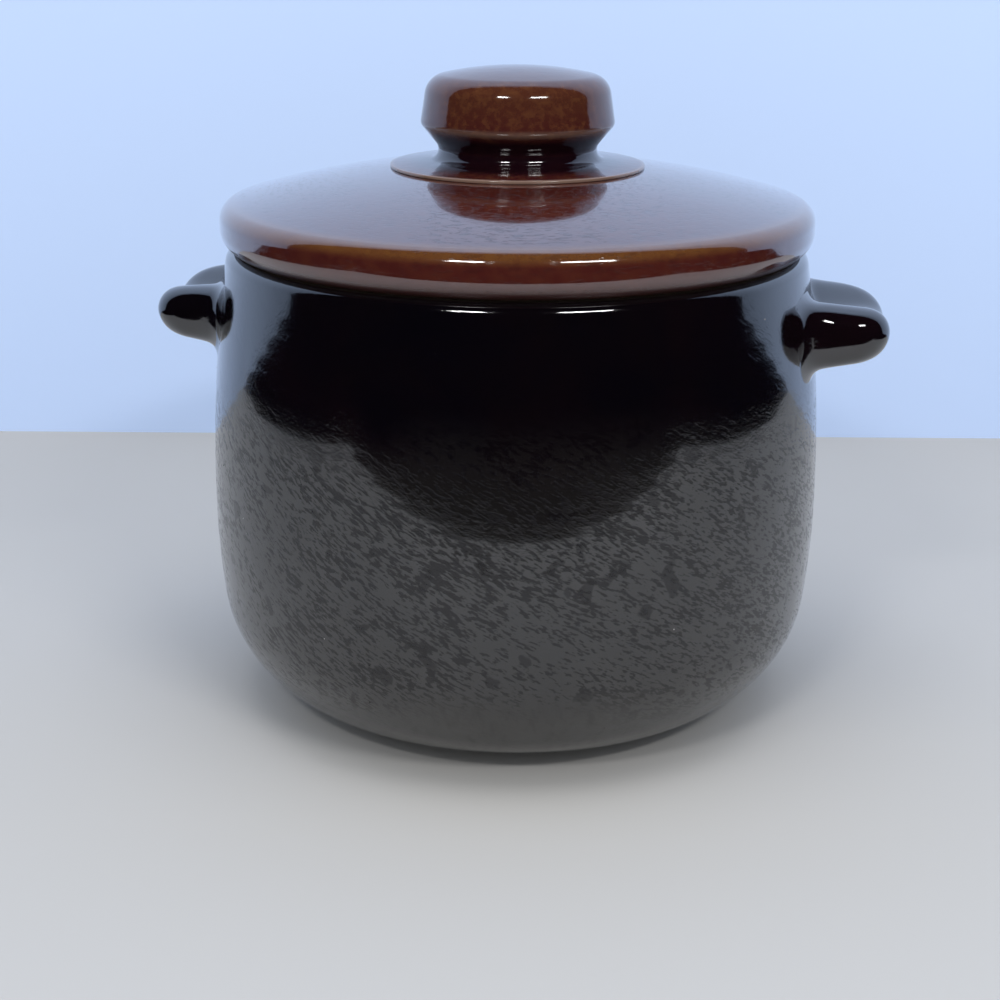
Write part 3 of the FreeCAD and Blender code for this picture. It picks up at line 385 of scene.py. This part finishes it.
def turned(name, points, material, segments, wobble, ridge=0.0, closed=False, seed=1):
    """Spin an outline in millimetres into a piece."""
    mesh = bpy.data.meshes.new(name)
    chain = list(points) + ([points[0]] if closed else [])
    mesh.from_pydata([(r * MM, 0, z * MM) for r, z in chain],
                     [(k, k + 1) for k in range(len(chain) - 1)], [])
    obj = bpy.data.objects.new(name, mesh)
    bpy.context.scene.collection.objects.link(obj)
    settle(obj, wheel, Points=len(chain), Segments=segments, Wobble=wobble * MM, Ridge=ridge * MM,
           Seed=seed, Material=material)
    widest = max(points)
    face_outwards(obj, (widest[0] * MM, 0, widest[1] * MM))
    print(f"{name}: {len(obj.data.polygons)} faces")
    return obj


# %% [markdown]
# ## Shading
#
# A glaze is written as arithmetic on textures. The small class below lets sockets be
# added, multiplied and compared like numbers; each sign adds one maths node. Every
# texture reads Object coordinates, which here are the frame's own metres.

# %% Shader arithmetic
class Sock:
    """A float socket that can be used in sums. `tree` is the material's node tree."""

    def __init__(self, tree, out):
        self.tree, self.out = tree, out

    def maths(self, operation, *others, clamp=False):
        node = self.tree.nodes.new("ShaderNodeMath")
        node.operation, node.use_clamp = operation, clamp
        for slot, value in enumerate(others):
            if isinstance(value, Sock):
                self.tree.links.new(value.out, node.inputs[slot])
            else:
                node.inputs[slot].default_value = value
        return Sock(self.tree, node.outputs[0])

    def __add__(self, other): return self.maths("ADD", self, other)
    def __radd__(self, other): return self.maths("ADD", other, self)
    def __sub__(self, other): return self.maths("SUBTRACT", self, other)
    def __rsub__(self, other): return self.maths("SUBTRACT", other, self)
    def __mul__(self, other): return self.maths("MULTIPLY", self, other)
    def __rmul__(self, other): return self.maths("MULTIPLY", other, self)
    def __pow__(self, other): return self.maths("POWER", self, other)
    def clamp(self): return self.maths("ADD", self, 0.0, clamp=True)

    def step(self, low, high):
        """0 below low, 1 above high, smooth between."""
        node = self.tree.nodes.new("ShaderNodeMapRange")
        node.interpolation_type = "SMOOTHSTEP"
        self.tree.links.new(self.out, node.inputs[0])
        node.inputs[1].default_value, node.inputs[2].default_value = low, high
        return Sock(self.tree, node.outputs[0])

    def band(self, low, high, soft):
        """1 between low and high, falling to 0 over soft on both sides."""
        return self.step(low - soft, low + soft) * (1 - self.step(high - soft, high + soft))


WINDING_RADIUS = 0.09  # the radius, in metres, at which a winding pattern is as long as asked
SHARE_LOW, SHARE_HIGH = 0.068, 0.086  # where a winding pattern changes to its other turn


class Glaze:
    """One material being written: textures, mixes and the final shader."""

    def __init__(self, name):
        self.material = bpy.data.materials.new(name)
        self.material.use_nodes = True
        self.tree = self.material.node_tree
        self.tree.nodes.clear()
        self.place = self.node("ShaderNodeTexCoord").outputs["Object"]
        parts = self.node("ShaderNodeSeparateXYZ", [(0, self.place)])
        self.x, self.y, self.z = (Sock(self.tree, parts.outputs[k]) for k in range(3))
        self.radius = (self.x * self.x + self.y * self.y) ** 0.5

    def node(self, kind, links=(), **settings):
        """Add a node; links are (input, socket or Sock or constant)."""
        node = self.tree.nodes.new(kind)
        for name, value in settings.items():
            setattr(node, name, value)
        for key, value in links:
            value = value.out if isinstance(value, Sock) else value
            if isinstance(value, bpy.types.NodeSocket):
                self.tree.links.new(value, node.inputs[key])
            else:
                node.inputs[key].default_value = value
        return node

    def vector(self, x, y, z):
        """A vector from three sums."""
        return self.node("ShaderNodeCombineXYZ", [(0, x), (1, y), (2, z)]).outputs[0]

    def noise(self, scale, detail=2.0, rough=0.5, place=None, seed=0.0, warp=0.0):
        """Noise as a Sock; scale is in cycles per metre."""
        node = self.node("ShaderNodeTexNoise", [
            ("Vector", place or self.place), ("W", seed), ("Scale", scale), ("Detail", detail),
            ("Roughness", rough), ("Distortion", warp)], noise_dimensions="4D")
        return Sock(self.tree, node.outputs[0])

    def winding(self, slant, stretch, scale, detail=3.0, rough=0.6, seed=0.0):
        """Noise drawn out along a slant in degrees that winds round the Z axis, with no seam."""
        lean, tilt = math.cos(math.radians(slant)), math.sin(math.radians(slant))
        turns = []
        for sign in (1.0, -1.0):
            angle = Sock(self.tree, self.node("ShaderNodeMath", [(0, self.y * sign), (1, self.x * sign)],
                                              operation="ARCTAN2").outputs[0])
            arc = angle * WINDING_RADIUS
            along, across = arc * lean - self.z * tilt, arc * tilt + self.z * lean
            place = self.vector(along * stretch, across, self.radius)
            turns.append(self.noise(scale, detail, rough, place=place, seed=seed))
        share = (self.x * -1.0).step(SHARE_LOW, SHARE_HIGH)
        return turns[0] * (1 - share) + turns[1] * share

    def mix(self, share, first, second):
        """A colour between two, by a Sock."""
        node = self.node("ShaderNodeMix", data_type="RGBA")
        sockets = [s for s in node.inputs if s.enabled]
        for socket, value in zip(sockets, (share, first, second)):
            value = value.out if isinstance(value, Sock) else value
            if isinstance(value, bpy.types.NodeSocket):
                self.tree.links.new(value, socket)
            elif socket.type == "RGBA":
                socket.default_value = (*value, 1.0)
            else:
                socket.default_value = value
        return next(s for s in node.outputs if s.enabled)

    def bump(self, height, distance):
        """Bump normals from a height Sock, in metres."""
        return self.node("ShaderNodeBump", [("Height", height), ("Distance", distance),
                                            ("Strength", 1.0)]).outputs[0]

    def finish(self, colour, roughness, normal=None, ior=1.6, coat=0.0, coat_rough=0.03, coat_ior=1.5):
        """Close the material with one Principled shader."""
        links = [("Base Color", (*colour, 1.0) if isinstance(colour, tuple) else colour),
                 ("Roughness", roughness), ("IOR", ior), ("Coat Weight", coat),
                 ("Coat Roughness", coat_rough), ("Coat IOR", coat_ior)]
        if normal is not None:
            links.append(("Normal", normal))
        shader = self.node("ShaderNodeBsdfPrincipled", links)
        out = self.node("ShaderNodeOutputMaterial")
        self.tree.links.new(shader.outputs[0], out.inputs[0])
        return self.material


# %% [markdown]
# ## The pot's glaze
#
# It is nearly black and very glossy, so what shows on it is mostly the room. The work
# goes into the surface: an orange-peel bump, a bright film on the lower part that dark
# slanting flecks break, and a roughness that changes from patch to patch.

# %% Pot glaze
def pot_glaze():
    """Near-black glaze with a worn bright film over the lower part."""
    g = Glaze("pot_glaze")
    # A thin bright film lies over the lower part; dark flecks drawn out on a slant break it.
    flecks = g.winding(30, 0.30, 1150, 3.0, 0.6, seed=2.0)
    coarse = g.winding(36, 0.38, 300, 3.0, 0.62, seed=5.0)
    patches = g.noise(34, 3, 0.6, seed=1.0, warp=0.5)
    islands = g.noise(105, 2, 0.5, seed=8.0, warp=0.3)
    drift = g.noise(11, 2, 0.5, seed=12.0)
    outside = g.radius.step(0.045, 0.06)
    level = g.z + (drift - 0.5) * 0.05
    film_zone = (1 - level.step(0.092, 0.118)) * outside
    calm = level.step(0.014, 0.034)
    fleck = (flecks * 0.7 + coarse * 0.3 + (patches - 0.5) * 0.2).step(0.5, 0.55) * calm
    bald = islands.step(0.625, 0.66) * calm
    wash = g.winding(84, 0.12, 420, 2.0, 0.5, seed=15.0)
    film = film_zone * (1 - fleck * 0.85) * (1 - bald * 0.7) * (0.6 + patches * 0.5)
    film = film * (1 - (1 - calm) * (wash - 0.5).step(-0.05, 0.25) * 0.35)
    colour = g.mix(patches.step(0.3, 0.75), (0.0012, 0.0008, 0.0018), (0.0024, 0.0012, 0.0018))
    colour = g.mix(film, colour, (0.0095, 0.0085, 0.0082))
    rust = g.noise(15, 2, 0.5, seed=9.0).step(0.48, 0.72) * g.z.step(0.085, 0.12) * outside
    colour = g.mix(rust * 0.5, colour, (0.0075, 0.002, 0.0026))
    # Where the foot was wiped dry, the clay shows.
    bare = (1 - g.z.step(0.0011, 0.0019)) * (1 - g.radius.step(0.0602, 0.0608))
    clay = g.mix(g.noise(900, 3, 0.6, seed=4.0), (0.3, 0.22, 0.15), (0.5, 0.39, 0.28))
    colour = g.mix(bare, colour, clay)
    leather = g.noise(1150, 3, 0.6, seed=3.0)
    rough = 0.05 + fleck * film_zone * 0.16 + leather * 0.03 + bald * film_zone * 0.05
    rough = rough * (1 - bare) + bare * 0.8
    peel = g.noise(120, 2, 0.5, seed=6.0)
    height = peel * 0.5 + leather * 0.3 + film * 0.12 - coarse.step(0.5, 0.62) * 0.1
    normal = g.bump(height, 0.00011)
    coat = (film * 0.52 + (1 - film_zone) * 0.5 + 0.03) * (1 - bare)
    return g.finish(colour, rough, normal, ior=1.55, coat=coat, coat_rough=0.05, coat_ior=1.9)


# %% [markdown]
# ## The lid's and the knob's glaze
#
# The same iron glaze runs thinner here: burgundy on the flat, amber where it breaks over
# an edge. Fine dashes run round the lid, left by the wheel under the glaze.

# %% Lid and knob glaze
def lid_glaze():
    """Burgundy glaze, amber over the shoulder, painted shade on the under-curve of the band, and bare clay
    on the seat.
    """
    g = Glaze("lid_glaze")
    dashes = g.winding(0, 0.3, 900, 3.0, 0.62, seed=2.0)
    mottle = g.noise(300, 3, 0.6, seed=3.0)
    cloud = g.noise(28, 3, 0.55, seed=1.0)
    top = 1 - g.radius.step(0.0825, 0.0855)
    pit = dashes.step(0.53, 0.62) * cloud.step(0.25, 0.6) * (0.25 + top * 0.75)
    red = g.mix(cloud, (0.034, 0.0055, 0.0055), (0.066, 0.012, 0.008))
    red = g.mix(mottle.step(0.35, 0.7) * 0.5, red, (0.075, 0.019, 0.009))
    # Amber where the glaze breaks over the shoulder. The fainter amber line along the lower edge of the
    # band is partly glaze break and partly a painted reflection of the pale table.
    grain = g.noise(480, 3, 0.65, seed=4.0)
    shoulder = g.z.band(0.1545, 0.1585, 0.0014) * g.radius.step(0.084, 0.0865)
    lower = (1 - g.z.step(0.1442, 0.1456)) * g.radius.step(0.083, 0.085)
    amber = ((shoulder + lower * 0.25) * (0.3 + grain * 1.1)).clamp()
    colour = g.mix(amber, red, (0.105, 0.04, 0.011))
    colour = g.mix(pit * 0.85, colour, (0.012, 0.003, 0.004))
    # Painted shade: the under-curve of the band is darkened, and it is also made rougher with little coat,
    # so it reflects less of the table.
    under = (1 - g.z.step(0.1450, 0.1490)) * g.radius.step(0.083, 0.085)
    colour = g.mix(under * 0.75, colour, (0.016, 0.0035, 0.0035))
    seat = (1 - g.z.step(0.1436, 0.1442)) * g.radius.step(0.07, 0.071)
    clay = g.mix(g.noise(900, 3, 0.6, seed=6.0), (0.32, 0.24, 0.17), (0.5, 0.4, 0.29))
    colour = g.mix(seat, colour, clay)
    rough = 0.07 + pit * 0.16 + mottle * 0.05 + under * 0.3
    rough = rough * (1 - seat) + seat * 0.8
    peel = g.noise(190, 2, 0.5, seed=7.0)
    leather = g.noise(950, 3, 0.6, seed=8.0)
    height = peel * 0.5 - pit * 0.5 + mottle * 0.2 + leather * 0.25
    normal = g.bump(height, 0.00015)
    return g.finish(colour, rough, normal, ior=1.5, coat=1 - under * 0.95,
                    coat_rough=0.05, coat_ior=1.8)


def knob_glaze():
    """The lid's glaze, browner towards the top, with painted shade in the neck."""
    g = Glaze("knob_glaze")
    grain = g.noise(420, 3, 0.65, seed=2.0)
    cloud = g.noise(60, 2, 0.5, seed=1.0)
    high = g.z.step(0.176, 0.193)
    colour = g.mix(high * 0.8 + cloud * 0.2, (0.04, 0.006, 0.0065), (0.058, 0.017, 0.0085))
    colour = g.mix(grain.step(0.4, 0.75) * 0.5, colour, (0.12, 0.045, 0.016))
    edge = g.z.band(0.1788, 0.1806, 0.0008) * g.radius.step(0.027, 0.0285)
    rim = g.z.band(0.1668, 0.1690, 0.0006) * g.radius.step(0.0372, 0.0382)
    colour = g.mix((edge * 0.35 + rim * 0.6).clamp(), colour, (0.24, 0.16, 0.12))
    # Painted shade: the neck under the knob's head is turned nearly black.
    neck_painted_shade = (1 - g.z.step(0.1765, 0.1795)) * (1 - g.radius.step(0.0285, 0.036))
    colour = g.mix(neck_painted_shade * 0.92, colour, (0.004, 0.001, 0.003))
    rough = 0.06 + grain * 0.05
    peel = g.noise(220, 2, 0.5, seed=5.0)
    normal = g.bump(peel * 0.6 + grain * 0.2, 0.00013)
    return g.finish(colour, rough, normal, ior=1.7, coat=0.25, coat_rough=0.04)


pot_material, lid_material, knob_material = pot_glaze(), lid_glaze(), knob_glaze()
print("glazes:", pot_material.name, lid_material.name, knob_material.name)

# %% Spin the pot, the lid and the knob
vessel = turned("pot_body", pot_line, pot_material, 384, wobble=0.12, ridge=0.012, seed=3)
lid = turned("lid_dome", lid_line, lid_material, 320, wobble=0.10, seed=5, closed=True)
knob = turned("lid_knob", knob_line, knob_material, 224, wobble=0.06, seed=8)
for piece, body, node, slot in ((vessel, "pot", "vessel", "pot_glaze"), (lid, "lid", "lid", "lid_glaze"),
                                (knob, "lid", "knob", "knob_glaze")):
    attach(piece, body)
    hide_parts(node)


# %% [markdown]
# ## Nibs in the glaze
#
# Here and there a grain of kiln dust or unmelted glaze stands out of the surface. They
# are scattered by a node group that picks points on the outside wall, from a fixed seed,
# and sets a tiny flattened bead on each.

# %% Build the scattering node group
def make_scatter():
    """Node group that sets small beads on the incoming surface, between two heights."""
    tree = bpy.data.node_groups.new("nib_scatter", "GeometryNodeTree")
    face = tree.interface
    face.new_socket("Surface", in_out="INPUT", socket_type="NodeSocketGeometry")
    add_inputs(face, ("Density", "Float", 900.0), ("Bead", "Float", 0.00022),
               ("Inner Radius", "Float", 0.083), ("Low", "Float", 0.02), ("High", "Float", 0.135),
               ("Seed", "Int", 4), ("Material", "Material", None))
    face.new_socket("Geometry", in_out="OUTPUT", socket_type="NodeSocketGeometry")
    given = tree.nodes.new("NodeGroupInput").outputs
    where = tree.nodes.new("GeometryNodeInputPosition").outputs[0]
    place = group_node(tree, "ShaderNodeSeparateXYZ", [(0, where)])
    x, y, z = (place.outputs[k] for k in range(3))
    away = group_math(tree, "SQRT", group_math(tree, "ADD", group_math(tree, "MULTIPLY", x, x),
                                               group_math(tree, "MULTIPLY", y, y)))
    outer = group_math(tree, "GREATER_THAN", away, given["Inner Radius"])
    level = group_math(tree, "MULTIPLY", group_math(tree, "GREATER_THAN", z, given["Low"]),
                       group_math(tree, "LESS_THAN", z, given["High"]))
    chosen = group_math(tree, "MULTIPLY", outer, level)
    spread = group_node(tree, "GeometryNodeDistributePointsOnFaces",
                        [("Mesh", given["Surface"]), ("Selection", chosen),
                         ("Density", given["Density"]), ("Seed", given["Seed"])])
    bead = group_node(tree, "GeometryNodeMeshIcoSphere",
                      [("Radius", given["Bead"]), ("Subdivisions", 2)])
    round_bead = group_node(tree, "GeometryNodeSetShadeSmooth", [("Geometry", bead.outputs[0])])
    size = group_node(tree, "FunctionNodeRandomValue", [(2, 0.35), (3, 1.0), ("Seed", given["Seed"])])
    low = group_math(tree, "MULTIPLY", size.outputs[1], 0.55)
    flat = group_node(tree, "ShaderNodeCombineXYZ", [(0, size.outputs[1]), (1, size.outputs[1]), (2, low)])
    beads = group_node(tree, "GeometryNodeInstanceOnPoints", [
        ("Points", spread.outputs[0]), ("Instance", round_bead.outputs[0]),
        ("Rotation", spread.outputs["Rotation"]), ("Scale", flat.outputs[0])])
    real = group_node(tree, "GeometryNodeRealizeInstances", [("Geometry", beads.outputs[0])])
    made = group_node(tree, "GeometryNodeSetMaterial",
                      [("Geometry", real.outputs[0]), ("Material", given["Material"])])
    result = tree.nodes.new("NodeGroupOutput")
    tree.links.new(made.outputs[0], result.inputs[0])
    return tree


scatter = make_scatter()
print("scatter group:", len(scatter.nodes), "nodes")


# %% Set nibs on the pot
def nib_glaze():
    """Dark or pale beads, patch by patch."""
    g = Glaze("nib_glaze")
    pale = g.noise(60, 1, 0.5, seed=3.0).step(0.52, 0.6)
    colour = g.mix(pale, (0.012, 0.008, 0.009), (0.3, 0.28, 0.27))
    return g.finish(colour, 0.12 + pale * 0.25, ior=1.6)


def set_nibs(name, surface, body, slot, material, **inputs):
    """Scatter beads on a finished piece and keep them as a piece of their own."""
    obj = bpy.data.objects.new(name, surface.data.copy())
    bpy.context.scene.collection.objects.link(obj)
    settle(obj, scatter, Material=material, **inputs)
    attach(obj, body)
    print(f"{name}: {len(obj.data.polygons)} faces")


nib_material = nib_glaze()
set_nibs("pot_nibs", vessel, "pot", "pot_glaze", nib_material, Density=1500.0, Seed=7)

# %% [markdown]
# ## The lug handles
#
# A lug is pulled clay: a slab with soft edges, a thumb trough on top, and a root that
# flows into the wall. Soft minimum and maximum of simple distances describe exactly
# that. The surface is found on a grid of cells, then each point is slid onto it.

# %% Distance field of a lug
def soft_most(a, b, reach):
    """The larger of two, rounded over where they are within reach of each other."""
    share = np.maximum(reach - np.abs(a - b), 0) / reach
    return np.maximum(a, b) + share ** 2 * reach / 4


def soft_least(a, b, reach):
    """The smaller of two, filled in where they are within reach of each other."""
    return -soft_most(-a, -b, reach)


HALF_WIDTH, FRONT_CORNER, REAR_CORNER = 25.0, 10.5, 17.0
TROUGH_HALF, TROUGH_DEPTH = 17.5, 5.0
EDGE_SOFT, ROOT_SOFT = 8.5, 3.6
SINK, BACK, ROOT_SPARE = 0.05, 0.9, 0.8
WALL_MEAN, FLARE_START, FLARE_RATE = 93.5, 97.0, 0.035
TOP_FALL, UNDER_RISE, TOP_SOFT = 0.09, 0.19, 3.0


def lug_field(points, side, reach, low, high):
    """Distance-like value in millimetres, below 0 inside the lug."""
    x, y, z = points[..., 0], points[..., 1], points[..., 2]
    out = x - WALL_MEAN
    flare = FLARE_RATE * np.maximum(FLARE_START - x, 0) ** 2
    corner = np.where(y * side < 0, FRONT_CORNER, REAR_CORNER)
    qx = x - (reach - corner)
    qy = np.abs(y) - (HALF_WIDTH + flare - corner)
    plan = (np.hypot(np.maximum(qx, 0), np.maximum(qy, 0))
            + np.minimum(np.maximum(qx, qy), 0)) - corner
    bend = 0.5 + 0.5 * np.cos(np.pi * np.clip(np.abs(y) / TROUGH_HALF, 0, 1))
    top = z - (high - TOP_FALL * out - TROUGH_DEPTH * bend * np.clip(1 - 0.02 * out, 0, 1))
    under = (low + UNDER_RISE * out) - z
    slab = soft_most(plan, soft_most(top, under, TOP_SOFT), EDGE_SOFT)
    wall = np.hypot(x, y) - (BELLY - UPPER_ARC + np.sqrt(UPPER_ARC ** 2 - (z - BELLY_Z) ** 2)) + SINK
    skin = soft_least(slab, wall, ROOT_SOFT)
    solid = np.maximum(np.maximum(skin, -(wall + BACK)), slab - (ROOT_SOFT + ROOT_SPARE))
    return solid


def slopes(field, points, step=0.02):
    """Central differences of a field at points."""
    rows = []
    for axis in range(3):
        nudge = np.zeros(3)
        nudge[axis] = step
        rows.append((field(points + nudge) - field(points - nudge)) / (2 * step))
    return np.stack(rows, -1)


def surface_of(field, low_corner, high_corner, cell):
    """Mesh of the zero level: one vertex per cell that the surface crosses, slid onto it."""
    axes = [np.arange(low_corner[k], high_corner[k] + cell, cell) for k in range(3)]
    grid = np.stack(np.meshgrid(*axes, indexing="ij"), -1)
    value = field(grid)
    inside = value < 0
    total = np.zeros(tuple(n - 1 for n in value.shape) + (3,))
    count = np.zeros(tuple(n - 1 for n in value.shape))
    corners = [(i, j, k) for i in (0, 1) for j in (0, 1) for k in (0, 1)]

    def part(array, offset):
        return array[tuple(slice(o, array.shape[a] - 1 + o) for a, o in enumerate(offset))]

    for first in corners:
        for axis in range(3):
            if first[axis]:
                continue
            second = tuple(first[a] + (a == axis) for a in range(3))
            va, vb = part(value, first), part(value, second)
            crossed = part(inside, first) != part(inside, second)
            share = np.where(crossed, va / np.where(crossed, va - vb, 1.0), 0.0)[..., None]
            pa, pb = part(grid, first), part(grid, second)
            total += np.where(crossed[..., None], pa + (pb - pa) * share, 0.0)
            count += crossed
    active = count > 0
    number = np.full(active.shape, -1)
    number[active] = np.arange(active.sum())
    points = total[active] / count[active][:, None]
    faces = []
    for axis in range(3):
        one, two = [a for a in range(3) if a != axis]
        here = tuple(slice(1, -1) if a != axis else slice(0, -1) for a in range(3))
        there = tuple(slice(1, -1) if a != axis else slice(1, None) for a in range(3))
        crossed = inside[here] != inside[there]
        where = np.argwhere(crossed)
        base = where + np.array([0 if a == axis else 1 for a in range(3)])
        loop = []
        for shift_one, shift_two in ((-1, -1), (0, -1), (0, 0), (-1, 0)):
            at = base.copy()
            at[:, one] += shift_one
            at[:, two] += shift_two
            loop.append(number[tuple(at.T)])
        quads = np.stack(loop, -1)
        leaving = inside[tuple(base.T)]
        flip = leaving if axis != 1 else ~leaving
        faces.append(np.where(flip[:, None], quads, quads[:, ::-1]))
    for _ in range(4):
        steep = slopes(field, points)
        size = np.maximum((steep ** 2).sum(-1), 1e-6)
        slide = np.clip(field(points) / size, -0.5, 0.5)
        points = points - steep * slide[:, None] * 0.8
    return points, np.concatenate(faces)


def follow_wall(points):
    """Shift the root's points by what the thrown wall differs from the true outline there."""
    tree = BVHTree.FromObject(vessel, bpy.context.evaluated_depsgraph_get())
    moved = points.copy()
    for k, (x, y, z) in enumerate(points):
        radius = math.hypot(x, y)
        outward = Vector((x / radius, y / radius, 0))
        hit = tree.ray_cast(outward * 0.15 + Vector((0, 0, z * MM)), -outward, 0.08)[0]
        true_radius = wall_radius(z)
        share = min(max(1 - (radius - true_radius) / 8, 0), 1)
        if hit is not None and share > 0:
            change = (math.hypot(hit.x, hit.y) / MM - true_radius) * share
            moved[k, 0] += outward.x * change
            moved[k, 1] += outward.y * change
    return moved


def make_lug(name, side, reach, low, high):
    """A lug mesh with the field's own normals; side is 1 for +X and -1 for -X."""
    def field(points):
        return lug_field(points, side, reach, low, high)

    points, faces = surface_of(field, (82.0, -44.0, low - 9), (reach + 2.0, 44.0, high + 8), 0.8)
    normals = slopes(field, points)
    normals /= np.linalg.norm(normals, axis=1)[:, None]
    if side < 0:
        points, normals = points * (-1, -1, 1), normals * (-1, -1, 1)
    points = follow_wall(points)
    mesh = bpy.data.meshes.new(name)
    mesh.from_pydata((points * MM).tolist(), [], faces.tolist())
    mesh.validate()
    mesh.polygons.foreach_set("use_smooth", [True] * len(mesh.polygons))
    if len(mesh.vertices) == len(normals):
        mesh.normals_split_custom_set_from_vertices(normals.tolist())
    mesh.materials.append(pot_material)
    obj = bpy.data.objects.new(name, mesh)
    bpy.context.scene.collection.objects.link(obj)
    print(f"{name}: {len(mesh.polygons)} faces")
    return obj


# %% Make both lugs
for name, side, reach, low, high, node in (("lug_right_soft", 1, 113.6, 111.6, 131.4, "lug_right"),
                                           ("lug_left_soft", -1, 110.4, 113.6, 131.4, "lug_left")):
    lug = make_lug(name, side, reach, low, high)
    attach(lug, "pot")
    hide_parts(node)

# %% [markdown]
# ## Camera
#
# The camera was fitted to the photo's ellipses. The pot is turned a little on the table,
# which is the same as walking round it, so the camera stands off the -Y axis.

# %% Camera
PX, FOCAL_PX, SENSOR = 1000, 1796.85, 36
DISTANCE, HEIGHT = 0.55093, 0.24344
PITCH, YAW, ROLL, TURN = (math.radians(a) for a in (18.407, -0.4995, 0.278, 6.5))
forward = Vector((math.sin(YAW) * math.cos(PITCH), math.cos(YAW) * math.cos(PITCH), -math.sin(PITCH)))
level = Vector((math.cos(YAW), -math.sin(YAW), 0))
upright = level.cross(forward)
right = math.cos(ROLL) * level + math.sin(ROLL) * upright
up = -math.sin(ROLL) * level + math.cos(ROLL) * upright
about = Matrix.Rotation(TURN, 4, "Z")
axes = Matrix((right, up, -forward)).transposed().to_4x4()
camera_data = bpy.data.cameras.new("camera")
camera_data.lens = FOCAL_PX * SENSOR / PX
camera_data.sensor_width = SENSOR
camera_data.clip_start = 0.02
camera = bpy.data.objects.new("camera", camera_data)
bpy.context.scene.collection.objects.link(camera)
camera.matrix_world = about @ Matrix.Translation((0, -DISTANCE, HEIGHT)) @ axes
bpy.context.scene.camera = camera
print("camera at", tuple(round(v, 3) for v in camera.matrix_world.translation))


# %% [markdown]
# ## Room and light
#
# The glaze is a mirror, so the room matters. A pale table ends a little in front of the
# pot, a pale wall stands behind it, and reflections see a dark room in front: that gives
# the grey lower half and the black upper half. Two lamps in front make the paired
# highlights. A wide lamp overhead lights the pot and is hidden from reflections.

# %% Table and wall
def one_sided(name, colour, roughness):
    """A plain material for the stage that only its front shows, so the pot is seen from behind too."""
    g = Glaze(name)
    g.finish(colour, roughness, ior=1.3)
    shader = next(n for n in g.tree.nodes if n.type == "BSDF_PRINCIPLED")
    clear = g.node("ShaderNodeBsdfTransparent")
    back = g.node("ShaderNodeNewGeometry").outputs["Backfacing"]
    both = g.node("ShaderNodeMixShader", [(0, back), (1, shader.outputs[0]), (2, clear.outputs[0])])
    ending = next(n for n in g.tree.nodes if n.type == "OUTPUT_MATERIAL")
    g.tree.links.new(both.outputs[0], ending.inputs[0])
    return g.material


def sheet(name, corners, material):
    """A flat piece of the stage, turned with the camera."""
    mesh = bpy.data.meshes.new(name)
    mesh.from_pydata([about @ Vector(c) for c in corners], [], [tuple(range(len(corners)))])
    mesh.materials.append(material)
    obj = bpy.data.objects.new(name, mesh)
    bpy.context.scene.collection.objects.link(obj)


TABLE_FRONT, TABLE_SIDE, WALL_BACK = -0.37, 0.60, 0.28
WALL_SIDE, WALL_PEAK = 5, 6
sheet("table", [(-TABLE_SIDE, TABLE_FRONT, 0), (TABLE_SIDE, TABLE_FRONT, 0),
                (TABLE_SIDE, WALL_BACK, 0), (-TABLE_SIDE, WALL_BACK, 0)],
      one_sided("table_pale", (0.49, 0.475, 0.455), 0.75))
sheet("wall", [(-WALL_SIDE, WALL_BACK, 0), (WALL_SIDE, WALL_BACK, 0), (0, WALL_BACK, WALL_PEAK)],
      one_sided("wall_pale", (0.56, 0.69, 0.95), 0.9))


# %% Lamps and surrounding light
def lamp(name, place, target, width, height, power):
    """A soft rectangular lamp aimed at a point, placed in the camera's own frame."""
    data = bpy.data.lights.new(name, "AREA")
    data.shape, data.size, data.size_y = "RECTANGLE", width, height
    data.energy = power
    obj = bpy.data.objects.new(name, data)
    bpy.context.scene.collection.objects.link(obj)
    spot = about @ Vector(place)
    aim = (about @ Vector(target)) - spot
    obj.matrix_world = Matrix.Translation(spot) @ aim.to_track_quat("-Z", "Y").to_matrix().to_4x4()
    return obj


lamp("strip_left", (-0.30, -0.85, 0.75), (0, 0, 0.12), 0.20, 0.06, 2.2)
lamp("strip_right", (0.43, -0.82, 0.75), (0, 0, 0.12), 0.34, 0.06, 3.0)
lamp("overhead", (0.0, -0.25, 1.5), (0, 0.05, 0), 1.0, 0.8, 8.0).visible_glossy = False

world = bpy.data.worlds.new("room")
bpy.context.scene.world = world
world.use_nodes = True
nodes, links = world.node_tree.nodes, world.node_tree.links
nodes.clear()
# Reflections see a dark room; everything else is lit by a pale one.
path = nodes.new("ShaderNodeLightPath")
dim = nodes.new("ShaderNodeBackground")
dim.inputs[0].default_value = (0.004, 0.003, 0.006, 1)
soft = nodes.new("ShaderNodeBackground")
soft.inputs[0].default_value = (0.9, 0.95, 1.0, 1)
soft.inputs[1].default_value = 0.85
pick = nodes.new("ShaderNodeMixShader")
ending = nodes.new("ShaderNodeOutputWorld")
links.new(path.outputs["Is Glossy Ray"], pick.inputs[0])
links.new(soft.outputs[0], pick.inputs[1])
links.new(dim.outputs[0], pick.inputs[2])
links.new(pick.outputs[0], ending.inputs[0])
bpy.context.scene.view_settings.view_transform = "Standard"
print("stage and lamps in place")
